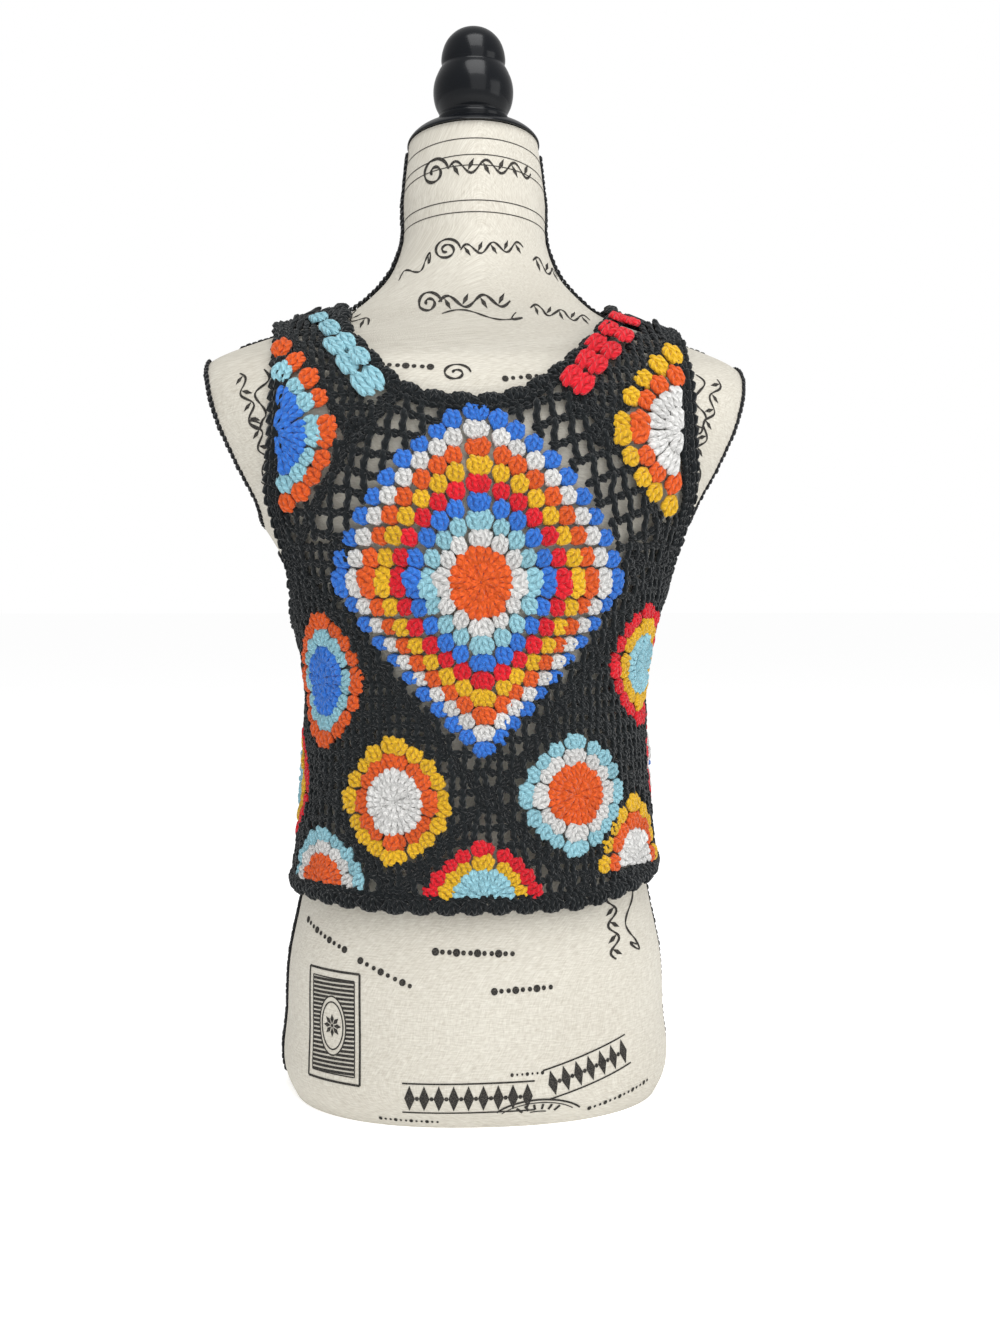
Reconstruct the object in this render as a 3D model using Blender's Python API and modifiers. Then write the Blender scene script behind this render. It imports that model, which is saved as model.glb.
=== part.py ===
"""Sleeveless crochet top of granny squares, worn by a limbless dress form.

Metres, +Z up, standing on the form's flat underside at z = 0. The back faces -Y, the wearer's left is -X.
A point of the form is given by its turn (0 at the back centre, a quarter turn at the +X side, half a turn
at the front centre) and by its height. The top is a wall that follows the form at a small distance. Its
motifs are diamonds on a lattice of six columns round the body, joined corner to corner.
"""
import math
from collections import namedtuple

import bpy
import numpy as np

# ---------------------------------------------------------------- driving sizes
WALL = 0.0022
SEAM_GAP = 0.0003
TRIM_THICK = 0.0012
TRIM_WIDTH = 0.010
TRIM_CORD = 0.0020
TRIM_CORD_GAP = 0.0014      # between the cord and the plate's edge
FORWARD = -0.0068           # moves the whole part so that its box is centred on the origin

COLUMNS = 6
SQUARE_STEPS = 5            # stretches along one side of a small square
NECK_BAND = 0.006
NECK_EASE = 0.001           # how far the neck edging's free edge stands off
ARMHOLE_BAND = 0.006
HEM_BAND = 0.0095

HEM_ROW = 3
ROW_HEIGHT = {0: 0.362, 1: 0.289, 2: 0.218, HEM_ROW: 0.150}
LEFT_LIFT = 0.005           # the hem and the side motifs sit a little higher at the sides
RIGHT_LIFT = 0.020
UNDERARM_HEIGHT = 0.322
ARMHOLE_WIDTH = 0.130       # distance of the armhole edge from the middle, above the arm's curve
ARMHOLE_FLARE = 0.006       # how much wider the edge is where that curve starts
ARMHOLE_CURVE_TOP = 0.420
ARMHOLE_SEAM_RISE = 0.56    # share of the arm's curve where the underarm piece meets the armhole motif
MOTIF_TOP_HEIGHT = 0.526
MOTIF_SHARES = (0.0, 0.2, 0.4, 0.6, 0.8, 0.97, 1.0)     # places along the motif's long edges
STRAP_WIDTH_IN = 0.098
STRAP_BASE = 0.440
JOIN = (0.0870, 0.450)      # width and height of the join between big square, armhole motif and shoulder
BIG_SQUARE_SIDE = ((0.1215, 0.385), (0.1115, 0.412), (0.0995, 0.434))

PLATE_START = 0.385
PLATE_EDGE_LOW = 0.403      # where the plate's edge starts and ends
PLATE_EDGE_HIGH = 0.5155
PLATE_SPAN = math.pi / 2 - 0.25     # largest turn at which a section's rings are split into front, side, back
NECK_TOP = 0.676
NECK_TILT = 0.14
NECK_TILT_START = 0.598
CAP_OVERHANG = 0.0012
FINIAL_FOOT = 0.694
ROUND_STEPS = 28            # sides of the cap, the finial and the plates' cords

Section = namedtuple("Section", "height half_width back front centre squareness")
FORM = (
    Section(0.000, 0.1300, 0.1010, 0.1010, 0.000, 2.25),
    Section(0.010, 0.1350, 0.1060, 0.1060, 0.000, 2.25),
    Section(0.060, 0.1352, 0.1060, 0.1060, 0.000, 2.25),
    Section(0.095, 0.1335, 0.1030, 0.1040, 0.000, 2.25),
    Section(0.135, 0.1255, 0.0960, 0.0990, 0.000, 2.22),
    Section(0.185, 0.1165, 0.0890, 0.0920, 0.000, 2.20),
    Section(0.240, 0.1125, 0.0850, 0.0890, 0.000, 2.18),
    Section(0.290, 0.1150, 0.0860, 0.0975, 0.000, 2.20),
    Section(0.335, 0.1235, 0.0900, 0.1080, 0.000, 2.22),
    Section(0.375, 0.1350, 0.0930, 0.1150, 0.000, 2.25),
    Section(0.410, 0.1560, 0.0950, 0.1150, 0.000, 2.25),
    Section(0.445, 0.1800, 0.0940, 0.1085, 0.000, 2.25),
    Section(0.480, 0.1960, 0.0880, 0.0960, 0.000, 2.25),
    Section(0.504, 0.1970, 0.0780, 0.0780, 0.000, 2.20),
    Section(0.519, 0.1830, 0.0670, 0.0660, 0.001, 2.15),
    Section(0.531, 0.1530, 0.0610, 0.0590, 0.002, 2.10),
    Section(0.547, 0.1020, 0.0560, 0.0530, 0.004, 2.05),
    Section(0.570, 0.0690, 0.0520, 0.0500, 0.006, 2.00),
    Section(0.598, 0.0530, 0.0490, 0.0490, 0.009, 2.00),
    Section(0.635, 0.0510, 0.0480, 0.0480, 0.013, 2.00),
    Section(NECK_TOP, 0.0465, 0.0450, 0.0450, 0.018, 2.00),
)

Plate = namedtuple("Plate", "height half_width")
PLATES = (
    Plate(PLATE_START, 0.1500),
    Plate(0.410, 0.1520),
    Plate(0.445, 0.1685),
    Plate(0.475, 0.1815),
    Plate(0.495, 0.1865),
    Plate(0.508, 0.1885),
    Plate(0.520, 0.1870),
    Plate(0.535, 0.1870),
)

Hang = namedtuple("Hang", "height distance")
HANGS = (                   # distance from the form to the middle of the cloth's wall
    Hang(0.14, 0.0075),
    Hang(0.20, 0.0100),
    Hang(0.245, 0.0095),
    Hang(0.29, 0.0055),
    Hang(0.325, 0.0050),
    Hang(0.37, 0.0056),
    Hang(0.42, 0.0056),
    Hang(0.47, 0.0046),
    Hang(0.50, 0.0048),
    Hang(0.53, 0.0055),
    Hang(0.70, 0.0055),
)

Neckline = namedtuple("Neckline", "width back_left back_right front")
NECKLINE = (                # heights of the neck edge, from the middle out to the strap
    Neckline(0.000, 0.4760, 0.4760, 0.4760),
    Neckline(0.020, 0.4765, 0.4800, 0.4770),
    Neckline(0.040, 0.4785, 0.4900, 0.4825),
    Neckline(0.057, 0.4845, 0.5020, 0.4925),
    Neckline(0.070, 0.4950, 0.5140, 0.5035),
    Neckline(0.083, 0.5105, 0.5270, 0.5175),
    Neckline(0.095, 0.5265, 0.5390, 0.5325),
)
SQUARE_NECK_ROW = 3         # the row of the neck edge where the big square ends

FORM_RINGS = (0.0, 0.004, 0.012, 0.035, 0.065, 0.095, 0.125, 0.16, 0.20, 0.24, 0.275, 0.305, 0.332, 0.354,
              0.372, 0.385, 0.395, 0.408, 0.424, 0.445, 0.470, 0.490, 0.504, 0.511, 0.516, 0.523, 0.530,
              0.538, 0.547, 0.558, 0.574, 0.596, 0.632, NECK_TOP)

LOOKS = {                   # colour, roughness, metallic
    "linen": ((0.78, 0.74, 0.66), 0.9, 0.0),
    "braid": ((0.02, 0.02, 0.025), 0.8, 0.0),
    "gloss": ((0.008, 0.008, 0.01), 0.15, 0.0),
    "black": ((0.012, 0.014, 0.017), 0.95, 0.0),
    "orange": ((0.85, 0.15, 0.02), 0.95, 0.0),
    "white": ((0.85, 0.85, 0.84), 0.95, 0.0),
    "light_blue": ((0.25, 0.62, 0.75), 0.95, 0.0),
    "blue": ((0.04, 0.17, 0.72), 0.95, 0.0),
    "red": ((0.70, 0.01, 0.02), 0.95, 0.0),
    "yellow": ((0.85, 0.48, 0.02), 0.95, 0.0),
}


# ---------------------------------------------------------------- the form's surface
def smooth(table, column, at):
    """A smooth curve through one column of a table, read at the heights given."""
    heights = np.array([row.height for row in table])
    values = np.array([getattr(row, column) for row in table])
    slopes = np.gradient(values, heights)
    low = np.clip(np.searchsorted(heights, at) - 1, 0, len(heights) - 2)
    step = heights[low + 1] - heights[low]
    t = np.clip((at - heights[low]) / step, 0.0, 1.0)
    start = (1 + 2 * t) * (1 - t) ** 2 * values[low] + t * (1 - t) ** 2 * step * slopes[low]
    end = t * t * (3 - 2 * t) * values[low + 1] - t * t * (1 - t) * step * slopes[low + 1]
    return start + end


def torso_point(turn, height):
    """The torso's surface without its armhole plates."""
    turn, height = np.broadcast_arrays(np.asarray(turn, float), np.asarray(height, float))
    power = 2.0 / smooth(FORM, "squareness", height)
    depth = np.where(np.cos(turn) > 0, smooth(FORM, "back", height), smooth(FORM, "front", height))
    x = smooth(FORM, "half_width", height) * np.sign(np.sin(turn)) * np.abs(np.sin(turn)) ** power
    y = smooth(FORM, "centre", height) - depth * np.sign(np.cos(turn)) * np.abs(np.cos(turn)) ** power
    tilt = np.clip((height - NECK_TILT_START) / (NECK_TOP - NECK_TILT_START), 0.0, 1.0) * NECK_TILT
    z = height - tilt * (y - smooth(FORM, "centre", height))
    return np.stack([x, y + FORWARD, z], axis=-1)


def surface_normal(turn, height):
    """The outward direction of the torso's surface."""
    near = 1e-4
    along = torso_point(turn + near, height) - torso_point(turn - near, height)
    up = torso_point(turn, height + near) - torso_point(turn, height - near)
    normal = np.cross(along, up)
    return normal / np.linalg.norm(normal, axis=-1, keepdims=True)


def plate_edge(height):
    """The turn at which the torso meets its armhole plate, a quarter turn where there is none."""
    share = smooth(PLATES, "half_width", height) / smooth(FORM, "half_width", height)
    return math.asin(min(share, 1.0) ** (smooth(FORM, "squareness", height) / 2.0))


def form_point(turn, height):
    """The form's surface, cut flat at the armhole plates."""
    point = torso_point(turn, height)
    if height > PLATE_START:
        limit = smooth(PLATES, "half_width", height)
        point[..., 0] = np.clip(point[..., 0], -limit, limit)
    return point


# ---------------------------------------------------------------- places on the cloth
def cloth_point(turn, height):
    """The middle of the cloth's wall."""
    distance = smooth(HANGS, "distance", np.asarray(height, float))
    return torso_point(turn, height) + surface_normal(turn, height) * distance[..., None]


def girth(height):
    """Turns from the back centre to the front centre, with the cloth's length up to each."""
    turns = np.linspace(0.0, math.pi, 181)
    points = cloth_point(turns, np.full_like(turns, height))
    steps = np.linalg.norm(np.diff(points, axis=0), axis=1)
    return turns, np.concatenate([[0.0], np.cumsum(steps)])


def at_column(column, height):
    """A place by its column round the body: 0 at the back centre, 3 at the front centre."""
    turns, lengths = girth(height)
    length = abs(column) * lengths[-1] * 2 / COLUMNS
    return math.copysign(np.interp(length, lengths, turns), column), height


def at_width(width, height, front=False):
    """A place by its distance from the middle of the back or of the front."""
    share = min(abs(width) / smooth(FORM, "half_width", height), 1.0)
    turn = math.asin(share ** (smooth(FORM, "squareness", height) / 2.0))
    if front:
        turn = math.pi - turn
    return math.copysign(turn, width), height


def ridge_height(width):
    """The height at which the shoulder is as wide as this."""
    heights = np.linspace(0.60, 0.51, 400)
    return float(np.interp(width, smooth(FORM, "half_width", heights), heights))


def on_rib(width, rise, front=False):
    """A place on the strap: rise goes from 0 at the strap's base to 1 on the shoulder's ridge."""
    top = ridge_height(abs(width))
    height = STRAP_BASE + (top - STRAP_BASE) * math.sin(rise * math.pi / 2)
    return at_width(width, height, front)


def rise_of(width, height):
    """The rise of a height on the strap."""
    share = (height - STRAP_BASE) / (ridge_height(abs(width)) - STRAP_BASE)
    return math.asin(share) / (math.pi / 2)


def lift(column):
    """How much higher a motif sits beside the body than at its middle."""
    away = np.interp(min(abs(column), 3 - abs(column)), (0.4, 1.2), (0.0, 1.0))
    return (RIGHT_LIFT if column > 0 else LEFT_LIFT) * away * away * (3 - 2 * away)


def corner(column, row):
    """A corner of the lattice of motifs. Row 0 is level with the middle of the big squares."""
    return at_column(column, ROW_HEIGHT[row] + lift(column))


# ---------------------------------------------------------------- seams, as lists of (turn, height)
def straight(start, end, steps):
    """Places along a seam, with its last one left out."""
    return [tuple(np.array(start) + (np.array(end) - np.array(start)) * i / steps) for i in range(steps)]


def side_key(side, front):
    return "front" if front else ("back_right" if side > 0 else "back_left")


def sloped(side, front, start, end, shares):
    """Places on a straight line between two (width, height) pairs, at shares of its length."""
    places = []
    for share in shares:
        width, height = np.array(start) + (np.array(end) - np.array(start)) * share
        places.append(at_width(side * width, height, front))
    return places


def neck_seam(side, front):
    """The neck edge from the middle out to the shoulder's ridge."""
    key = side_key(side, front)
    places = [at_width(side * row.width, getattr(row, key), front) for row in NECKLINE]
    last = NECKLINE[-1]
    start = rise_of(last.width, getattr(last, key))
    for step in range(1, 4):
        width = last.width + (STRAP_WIDTH_IN - last.width) * step / 3
        places.append(on_rib(side * width, start + (1 - start) * step / 3, front))
    return places


def armhole_curve(side, front, start, end, steps):
    """The armhole edge below the arm, between two shares of its rise, both ends kept."""
    bottom = UNDERARM_HEIGHT + lift(1.5 * side)
    last, _ = at_width(ARMHOLE_WIDTH + ARMHOLE_FLARE, ARMHOLE_CURVE_TOP, front)
    places = []
    for step in range(steps + 1):
        rise = start + (end - start) * (step / steps) ** 1.5
        turn = math.pi / 2 + (last - math.pi / 2) * rise ** 0.5
        places.append((math.copysign(turn, side), bottom + (ARMHOLE_CURVE_TOP - bottom) * rise))
    return places


def armhole_under(side, front):
    """From the lowest place of the armhole to the top of the underarm piece."""
    return armhole_curve(side, front, 0.0, ARMHOLE_SEAM_RISE, 4)


def armhole_over(side, front):
    """From there to the top of the armhole motif."""
    curve = armhole_curve(side, front, ARMHOLE_SEAM_RISE, 1.0, 3)
    start = (ARMHOLE_WIDTH + ARMHOLE_FLARE, ARMHOLE_CURVE_TOP)
    return curve + sloped(side, front, start, (ARMHOLE_WIDTH, MOTIF_TOP_HEIGHT), MOTIF_SHARES[1:])


def armhole_strap(side, front):
    """From there up to the shoulder's ridge."""
    start = rise_of(ARMHOLE_WIDTH, MOTIF_TOP_HEIGHT)
    rises = [start + (1 - start) * step / 4 for step in range(1, 5)]
    return [on_rib(side * ARMHOLE_WIDTH, rise, front) for rise in rises]


def big_square_flank(side, front):
    """The big square's edge from its outer corner up to the join with the shoulder piece."""
    places = [corner(side * (2 if front else 1), 0)]
    return places + [at_width(side * width, height, front) for width, height in (*BIG_SQUARE_SIDE, JOIN)]


def big_square_shoulder(side, front):
    """The big square's edge from that join up to the neck edge."""
    top = NECKLINE[SQUARE_NECK_ROW]
    end = (top.width, getattr(top, side_key(side, front)))
    return sloped(side, front, JOIN, end, (0.0, 0.25, 0.5, 0.75, 1.0))


def motif_shoulder(side, front):
    """The seam between the armhole motif and the shoulder piece."""
    return sloped(side, front, JOIN, (ARMHOLE_WIDTH, MOTIF_TOP_HEIGHT), MOTIF_SHARES)


# ---------------------------------------------------------------- building
def clear_scene():
    for thing in list(bpy.data.objects):
        bpy.data.objects.remove(thing, do_unlink=True)


def material(look):
    """One Principled material for each part."""
    colour, roughness, metallic = LOOKS[look]
    made = bpy.data.materials.new(look)
    made.use_nodes = True
    shader = made.node_tree.nodes["Principled BSDF"]
    shader.inputs["Base Color"].default_value = (*colour, 1.0)
    shader.inputs["Roughness"].default_value = roughness
    shader.inputs["Metallic"].default_value = metallic
    return made


def add_object(name, data, look, collection):
    made = bpy.data.objects.new(name, data)
    data.materials.append(material(look))
    collection.objects.link(made)
    return made


def mesh_object(name, points, faces, look, collection):
    mesh = bpy.data.meshes.new(name)
    mesh.from_pydata([tuple(point) for point in points], [], faces)
    mesh.shade_smooth()
    mesh.set_sharp_from_angle(angle=math.radians(40))
    return add_object(name, mesh, look, collection)


def edge_inset(points, normals, loop, distance):
    """Move an edge loop's points into the piece, along the surface."""
    moved = points.copy()
    for here, index in enumerate(loop):
        before = points[index] - points[loop[here - 1]]
        after = points[loop[(here + 1) % len(loop)]] - points[index]
        inward = np.zeros(3)
        for direction in (before, after):
            side = np.cross(normals[index], direction)
            inward += side / np.linalg.norm(side)
        moved[index] = points[index] + inward / max(inward @ inward, 0.8) * 2 * distance
    return moved


def wall(name, places, faces, loops, look, collection, gap=SEAM_GAP):
    """A cloth wall on both sides of its middle surface, along the form's own normals.

    Neighbours share their seam's places and normals, so the gap between them stays even.
    """
    turns = np.array([place[0] for place in places])
    heights = np.array([place[1] for place in places])
    points = cloth_point(turns, heights)
    normals = surface_normal(turns, heights)
    for loop in loops:
        points = edge_inset(points, normals, loop, gap / 2)
    return wall_mesh(name, points, normals, faces, loops, look, collection)


def wall_mesh(name, points, normals, faces, loops, look, collection, thickness=WALL):
    count = len(points)
    both = np.concatenate([points + normals * thickness / 2, points - normals * thickness / 2])
    all_faces = list(faces)
    all_faces += [tuple(index + count for index in reversed(face)) for face in faces]
    for loop in loops:
        for here, index in enumerate(loop):
            after = loop[(here + 1) % len(loop)]
            all_faces.append((after, index, index + count, after + count))
    return mesh_object(name, both, all_faces, look, collection)


def star(name, outline, centre, rings, look, collection):
    """A motif whose rounds grow from its centre to its outline."""
    outline = np.array(outline)
    count = len(outline)
    places = [tuple(centre)]
    for ring in range(1, rings + 1):
        places += [tuple(point) for point in np.array(centre) + (outline - centre) * ring / rings]
    faces = [(0, 1 + i, 1 + (i + 1) % count) for i in range(count)]
    for ring in range(rings - 1):
        inner = 1 + ring * count
        outer = inner + count
        for i in range(count):
            after = (i + 1) % count
            faces.append((inner + i, outer + i, outer + after, inner + after))
    loop = [1 + (rings - 1) * count + i for i in range(count)]
    return wall(name, places, faces, [loop], look, collection)


def ruled(name, first, second, across, look, collection):
    """A motif between two edges with as many places each. The first edge is on the left, seen from
    outside with both edges running up."""
    rows = len(first)
    places = []
    for left, right in zip(first, second):
        for step in range(across + 1):
            places.append(tuple(np.array(left) + (np.array(right) - np.array(left)) * step / across))
    wide = across + 1
    faces = []
    for row in range(rows - 1):
        for step in range(across):
            low = row * wide + step
            faces.append((low, low + 1, low + 1 + wide, low + wide))
    bottom = list(range(wide))
    right_side = [row * wide + across for row in range(1, rows)]
    top = [(rows - 1) * wide + step for step in range(across - 1, -1, -1)]
    left_side = [row * wide for row in range(rows - 2, 0, -1)]
    return wall(name, places, faces, [bottom + right_side + top + left_side], look, collection)


def blunt(places, start=0.12, end=0.0):
    """The same edge with its pointed ends cut off, by a share of the first and last stretch."""
    places = [np.array(place) for place in places]
    places[0] = places[0] + (places[1] - places[0]) * start
    places[-1] = places[-1] + (places[-2] - places[-1]) * end
    return [tuple(place) for place in places]


def band(name, edge, width, look, collection, ease=0.0):
    """A closed edging that grows from a cloth edge, away from the cloth on the edge's right.

    Its free edge stands off the form by the ease.
    """
    turns = np.array([place[0] for place in edge])
    heights = np.array([place[1] for place in edge])
    root = cloth_point(turns, heights)
    normals = surface_normal(turns, heights)
    along = np.roll(root, -1, axis=0) - np.roll(root, 1, axis=0)
    away = np.cross(along, normals)
    away /= np.linalg.norm(away, axis=1, keepdims=True)
    count = len(edge)
    points = np.concatenate([root + away * SEAM_GAP / 2, root + away * width + normals * ease])
    faces = [(i, i + count, (i + 1) % count + count, (i + 1) % count) for i in range(count)]
    loops = [[*range(count - 1, -1, -1)], [*range(count, 2 * count)]]
    return wall_mesh(name, points, np.concatenate([normals, normals]), faces, loops, look, collection)


# ---------------------------------------------------------------- the top
def build_squares(collection):
    steps = SQUARE_STEPS
    lower_names = {-0.5: "back_left", 0.5: "back_right", -1.5: "side_left", 1.5: "side_right",
                   -2.5: "front_left", 2.5: "front_right"}
    side_names = {-1: "back_left", 1: "back_right", -2: "front_left", 2: "front_right"}
    squares = [(column, 2, "lower_square_" + name) for column, name in lower_names.items()]
    squares += [(column, 1, "side_square_" + name) for column, name in side_names.items()]
    for column, row, name in squares:
        ring = [corner(column, row + 1), corner(column + 0.5, row), corner(column, row - 1),
                corner(column - 0.5, row)]
        outline = []
        for i, start in enumerate(ring):
            outline += straight(start, ring[(i + 1) % 4], steps)
        centre = at_column(column, ROW_HEIGHT[row] + lift(column))
        star(name, outline, centre, 3, "yellow" if row == 2 else "orange", collection)


def seam_chain(corners):
    """Places along a chain of straight seams, with the last one left out."""
    places = []
    for start, end in zip(corners, corners[1:]):
        places += straight(corner(*start), corner(*end), SQUARE_STEPS)
    return places


def build_big_squares(collection):
    for front in (False, True):
        right = -1 if front else 1
        low_right = ((-3, 2), (-2.5, 1), (-2, 0)) if front else ((0, 2), (0.5, 1), (1, 0))
        low_left = ((2, 0), (2.5, 1), (3, 2)) if front else ((-1, 0), (-0.5, 1), (0, 2))
        neck = neck_seam(right, front)[SQUARE_NECK_ROW:0:-1] + neck_seam(-right, front)[:SQUARE_NECK_ROW]
        left = big_square_flank(-right, front)[:-1] + big_square_shoulder(-right, front)
        outline = seam_chain(low_right)
        outline += big_square_flank(right, front)[:-1] + big_square_shoulder(right, front)[:-1]
        outline += neck + left[:0:-1] + seam_chain(low_left)
        if front:
            outline = [(turn if turn < 0 else turn - 2 * math.pi, height) for turn, height in outline]
        centre = (-math.pi if front else 0.0, ROW_HEIGHT[0] + 0.01)
        star("front_centre_square" if front else "back_centre_square", outline, centre, 7, "blue", collection)


def ruled_pair(name, near, far, near_is_left, across, look, collection):
    edges = (near, far) if near_is_left else (far, near)
    ruled(name, *edges, across, look, collection)


def build_armhole_motifs(collection):
    for front in (False, True):
        for side in (-1, 1):
            where = ("front" if front else "back") + ("_left" if side < 0 else "_right")
            edge_is_left = (side < 0) != front
            flank = big_square_flank(side, front)
            outer = [flank[0]] + armhole_over(side, front)[:-1]
            inner = flank[:-1] + motif_shoulder(side, front)[:-1]
            ruled_pair("armhole_half_" + where, blunt(outer), blunt(inner), edge_is_left, 3, "light_blue",
                       collection)
            outer = motif_shoulder(side, front) + armhole_strap(side, front)
            inner = big_square_shoulder(side, front) + neck_seam(side, front)[SQUARE_NECK_ROW + 1:]
            ruled_pair("shoulder_piece_" + where, blunt(outer), blunt(inner), edge_is_left, 3, "black",
                       collection)


def build_underarms(collection):
    for side in (-1, 1):
        lower = straight(corner(side, 0), corner(1.5 * side, 1), SQUARE_STEPS)
        lower += straight(corner(1.5 * side, 1), corner(2 * side, 0), SQUARE_STEPS) + [corner(2 * side, 0)]
        upper = [corner(side, 0)] + armhole_under(side, False)[::-1] + armhole_under(side, True)[1:]
        upper.append(corner(2 * side, 0))
        ruled_pair("underarm_half" + ("_left" if side < 0 else "_right"), blunt(upper, end=0.12),
                   blunt(lower, end=0.12), side > 0, 2, "black", collection)


def build_hem_halves(collection):
    names = {0: "back", -1: "back_left", 1: "back_right", -2: "front_left", 2: "front_right", -3: "front"}
    for column, name in names.items():
        seam = hem_seam(column)
        top = corner(column, HEM_ROW - 1)
        outline = seam + straight(seam_end(column), top, SQUARE_STEPS)
        outline += straight(top, seam[0], SQUARE_STEPS)
        centre = tuple((np.array(seam[0]) + np.array(seam_end(column)) + np.array(top)) / 3)
        star("hem_half_" + name, outline, centre, 3, "red", collection)


def seam_end(column):
    return corner(column + 0.5, HEM_ROW)


def hem_seam(column):
    """The hem edge under one half square, with its last place left out."""
    start = corner(column - 0.5, HEM_ROW)
    if column == -3:
        turn, height = corner(2.5, HEM_ROW)
        start = (turn - 2 * math.pi, height)
    return straight(start, seam_end(column), SQUARE_STEPS)


def build_edgings(collection):
    hem = []
    for column in (-3, -2, -1, 0, 1, 2):
        hem += hem_seam(column)
    band("hem_edging", hem, HEM_BAND, "black", collection)
    neck = []
    for side, front in ((-1, True), (1, True), (1, False), (-1, False)):
        quarter = neck_seam(side, front)
        neck += (quarter if (side > 0) == front else quarter[::-1])[:-1]
    band("neck_edging", neck, NECK_BAND, "black", collection, NECK_EASE)
    for side, name in ((-1, "left"), (1, "right")):
        back, front = (armhole_under(side, where)[:-1] + armhole_over(side, where) + armhole_strap(side, where)
                       for where in (False, True))
        ring = back[:-1] + front[:0:-1]
        if side < 0:
            ring.reverse()
        band("armhole_edging_" + name, ring, ARMHOLE_BAND, "black", collection)


# ---------------------------------------------------------------- the form
def loft_faces(levels, count):
    """Quads between closed rings of equal counts, with both ends filled."""
    faces = [tuple(range(count))[::-1]]
    for level in range(levels - 1):
        low = level * count
        for i in range(count):
            after = (i + 1) % count
            faces.append((low + i, low + after, low + after + count, low + i + count))
    faces.append(tuple(range((levels - 1) * count, levels * count)))
    return faces


def ring_turns(height):
    """Turns all round one section, with places on the edges of both armhole plates."""
    rim = min(plate_edge(height), PLATE_SPAN)
    half = [*np.linspace(0, rim, 9)[:-1], *np.linspace(rim, math.pi - rim, 5)[:-1],
            *np.linspace(math.pi - rim, math.pi, 9)[:-1]]
    return np.array(half + [turn + math.pi for turn in half])


def build_torso(collection):
    rings = [form_point(ring_turns(height), height) for height in FORM_RINGS]
    faces = loft_faces(len(rings), len(rings[0]))
    mesh_object("form_body", np.concatenate(rings), faces, "linen", collection)


def build_cap_and_finial(collection):
    """A black dome on the tilted neck, level on top, and a turned finial on it."""
    centre = FORM[-1].centre + FORWARD
    levels = ((0.0, 1.00), (0.10, 0.995), (0.35, 0.93), (0.60, 0.83), (0.82, 0.70), (1.0, 0.56))
    points = []
    for rise, share in levels:
        radius = (FORM[-1].half_width + CAP_OVERHANG) * share
        for i in range(ROUND_STEPS):
            swing = 2 * math.pi * i / ROUND_STEPS
            x = radius * math.sin(swing)
            y = -radius * math.cos(swing)
            low = NECK_TOP - NECK_TILT * y + SEAM_GAP
            points.append((x, y + centre, low + (FINIAL_FOOT - low) * rise))
    mesh_object("neck_cap", points, loft_faces(len(levels), ROUND_STEPS), "gloss", collection)

    profile = ((0.0, 0.0670), (0.0070, 0.0662), (0.0140, 0.0630), (0.0195, 0.0570), (0.0222, 0.0500),
               (0.0232, 0.0435), (0.0226, 0.0395), (0.0248, 0.0360), (0.0282, 0.0280), (0.0290, 0.0200),
               (0.0278, 0.0120), (0.0250, 0.0065), (0.0238, 0.0045), (0.0252, 0.0030), (0.0250, 0.0),
               (0.0, 0.0))
    mesh = bpy.data.meshes.new("finial")
    edges = [(i, i + 1) for i in range(len(profile) - 1)]
    mesh.from_pydata([(radius, 0.0, rise) for radius, rise in profile], edges, [])
    finial = add_object("finial", mesh, "gloss", collection)
    finial.location = (0.0, centre, FINIAL_FOOT + SEAM_GAP)
    turned = finial.modifiers.new("turned", "SCREW")
    turned.steps = ROUND_STEPS
    turned.render_steps = ROUND_STEPS
    turned.use_merge_vertices = True
    turned.merge_threshold = 0.00005
    turned.use_smooth_shade = True


def trim_strip(name, heights, side, collection):
    """A flat braid on the form's side line."""
    heights = np.array(heights)
    turn = math.pi / 2 * side
    points = []
    normals = []
    for height in heights:
        reach = np.linalg.norm(torso_point(turn + 0.02, height) - torso_point(turn - 0.02, height)) / 0.04
        for edge in (-0.5, 0.0, 0.5):
            here = turn + edge * TRIM_WIDTH / reach
            normal = surface_normal(here, height)
            points.append(torso_point(here, height) + normal * (SEAM_GAP + TRIM_THICK / 2))
            normals.append(normal)
    faces = []
    for row in range(len(heights) - 1):
        for step in range(2):
            low = row * 3 + step
            faces.append((low, low + 1, low + 4, low + 3))
    rows = len(heights)
    loop = [0, 1, 2] + [row * 3 + 2 for row in range(1, rows)]
    loop += [(rows - 1) * 3 + 1, (rows - 1) * 3] + [row * 3 for row in range(rows - 2, 0, -1)]
    wall_mesh(name, np.array(points), np.array(normals), faces, [loop], "braid", collection, TRIM_THICK)


def plate_trim(name, side, collection):
    """A cord round the edge of an armhole plate."""
    middle = (PLATE_EDGE_LOW + PLATE_EDGE_HIGH) / 2
    reach = (PLATE_EDGE_HIGH - PLATE_EDGE_LOW) / 2
    path = []
    for step in range(ROUND_STEPS):
        swing = 2 * math.pi * step / ROUND_STEPS
        height = middle - reach * math.cos(swing)
        rim = plate_edge(height)
        turn = side * (rim if swing < math.pi else math.pi - rim)
        out = surface_normal(turn, height) + np.array([side, 0.0, -0.25])
        out /= np.linalg.norm(out)
        path.append(form_point(np.array(turn), height) + out * (TRIM_CORD + TRIM_CORD_GAP))
    curve = bpy.data.curves.new(name, "CURVE")
    curve.dimensions = "3D"
    curve.bevel_depth = TRIM_CORD
    curve.bevel_resolution = 1
    spline = curve.splines.new("POLY")
    spline.points.add(len(path) - 1)
    for point, place in zip(spline.points, path):
        point.co = (*place, 1.0)
    spline.use_cyclic_u = True
    add_object(name, curve, "braid", collection)


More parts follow.
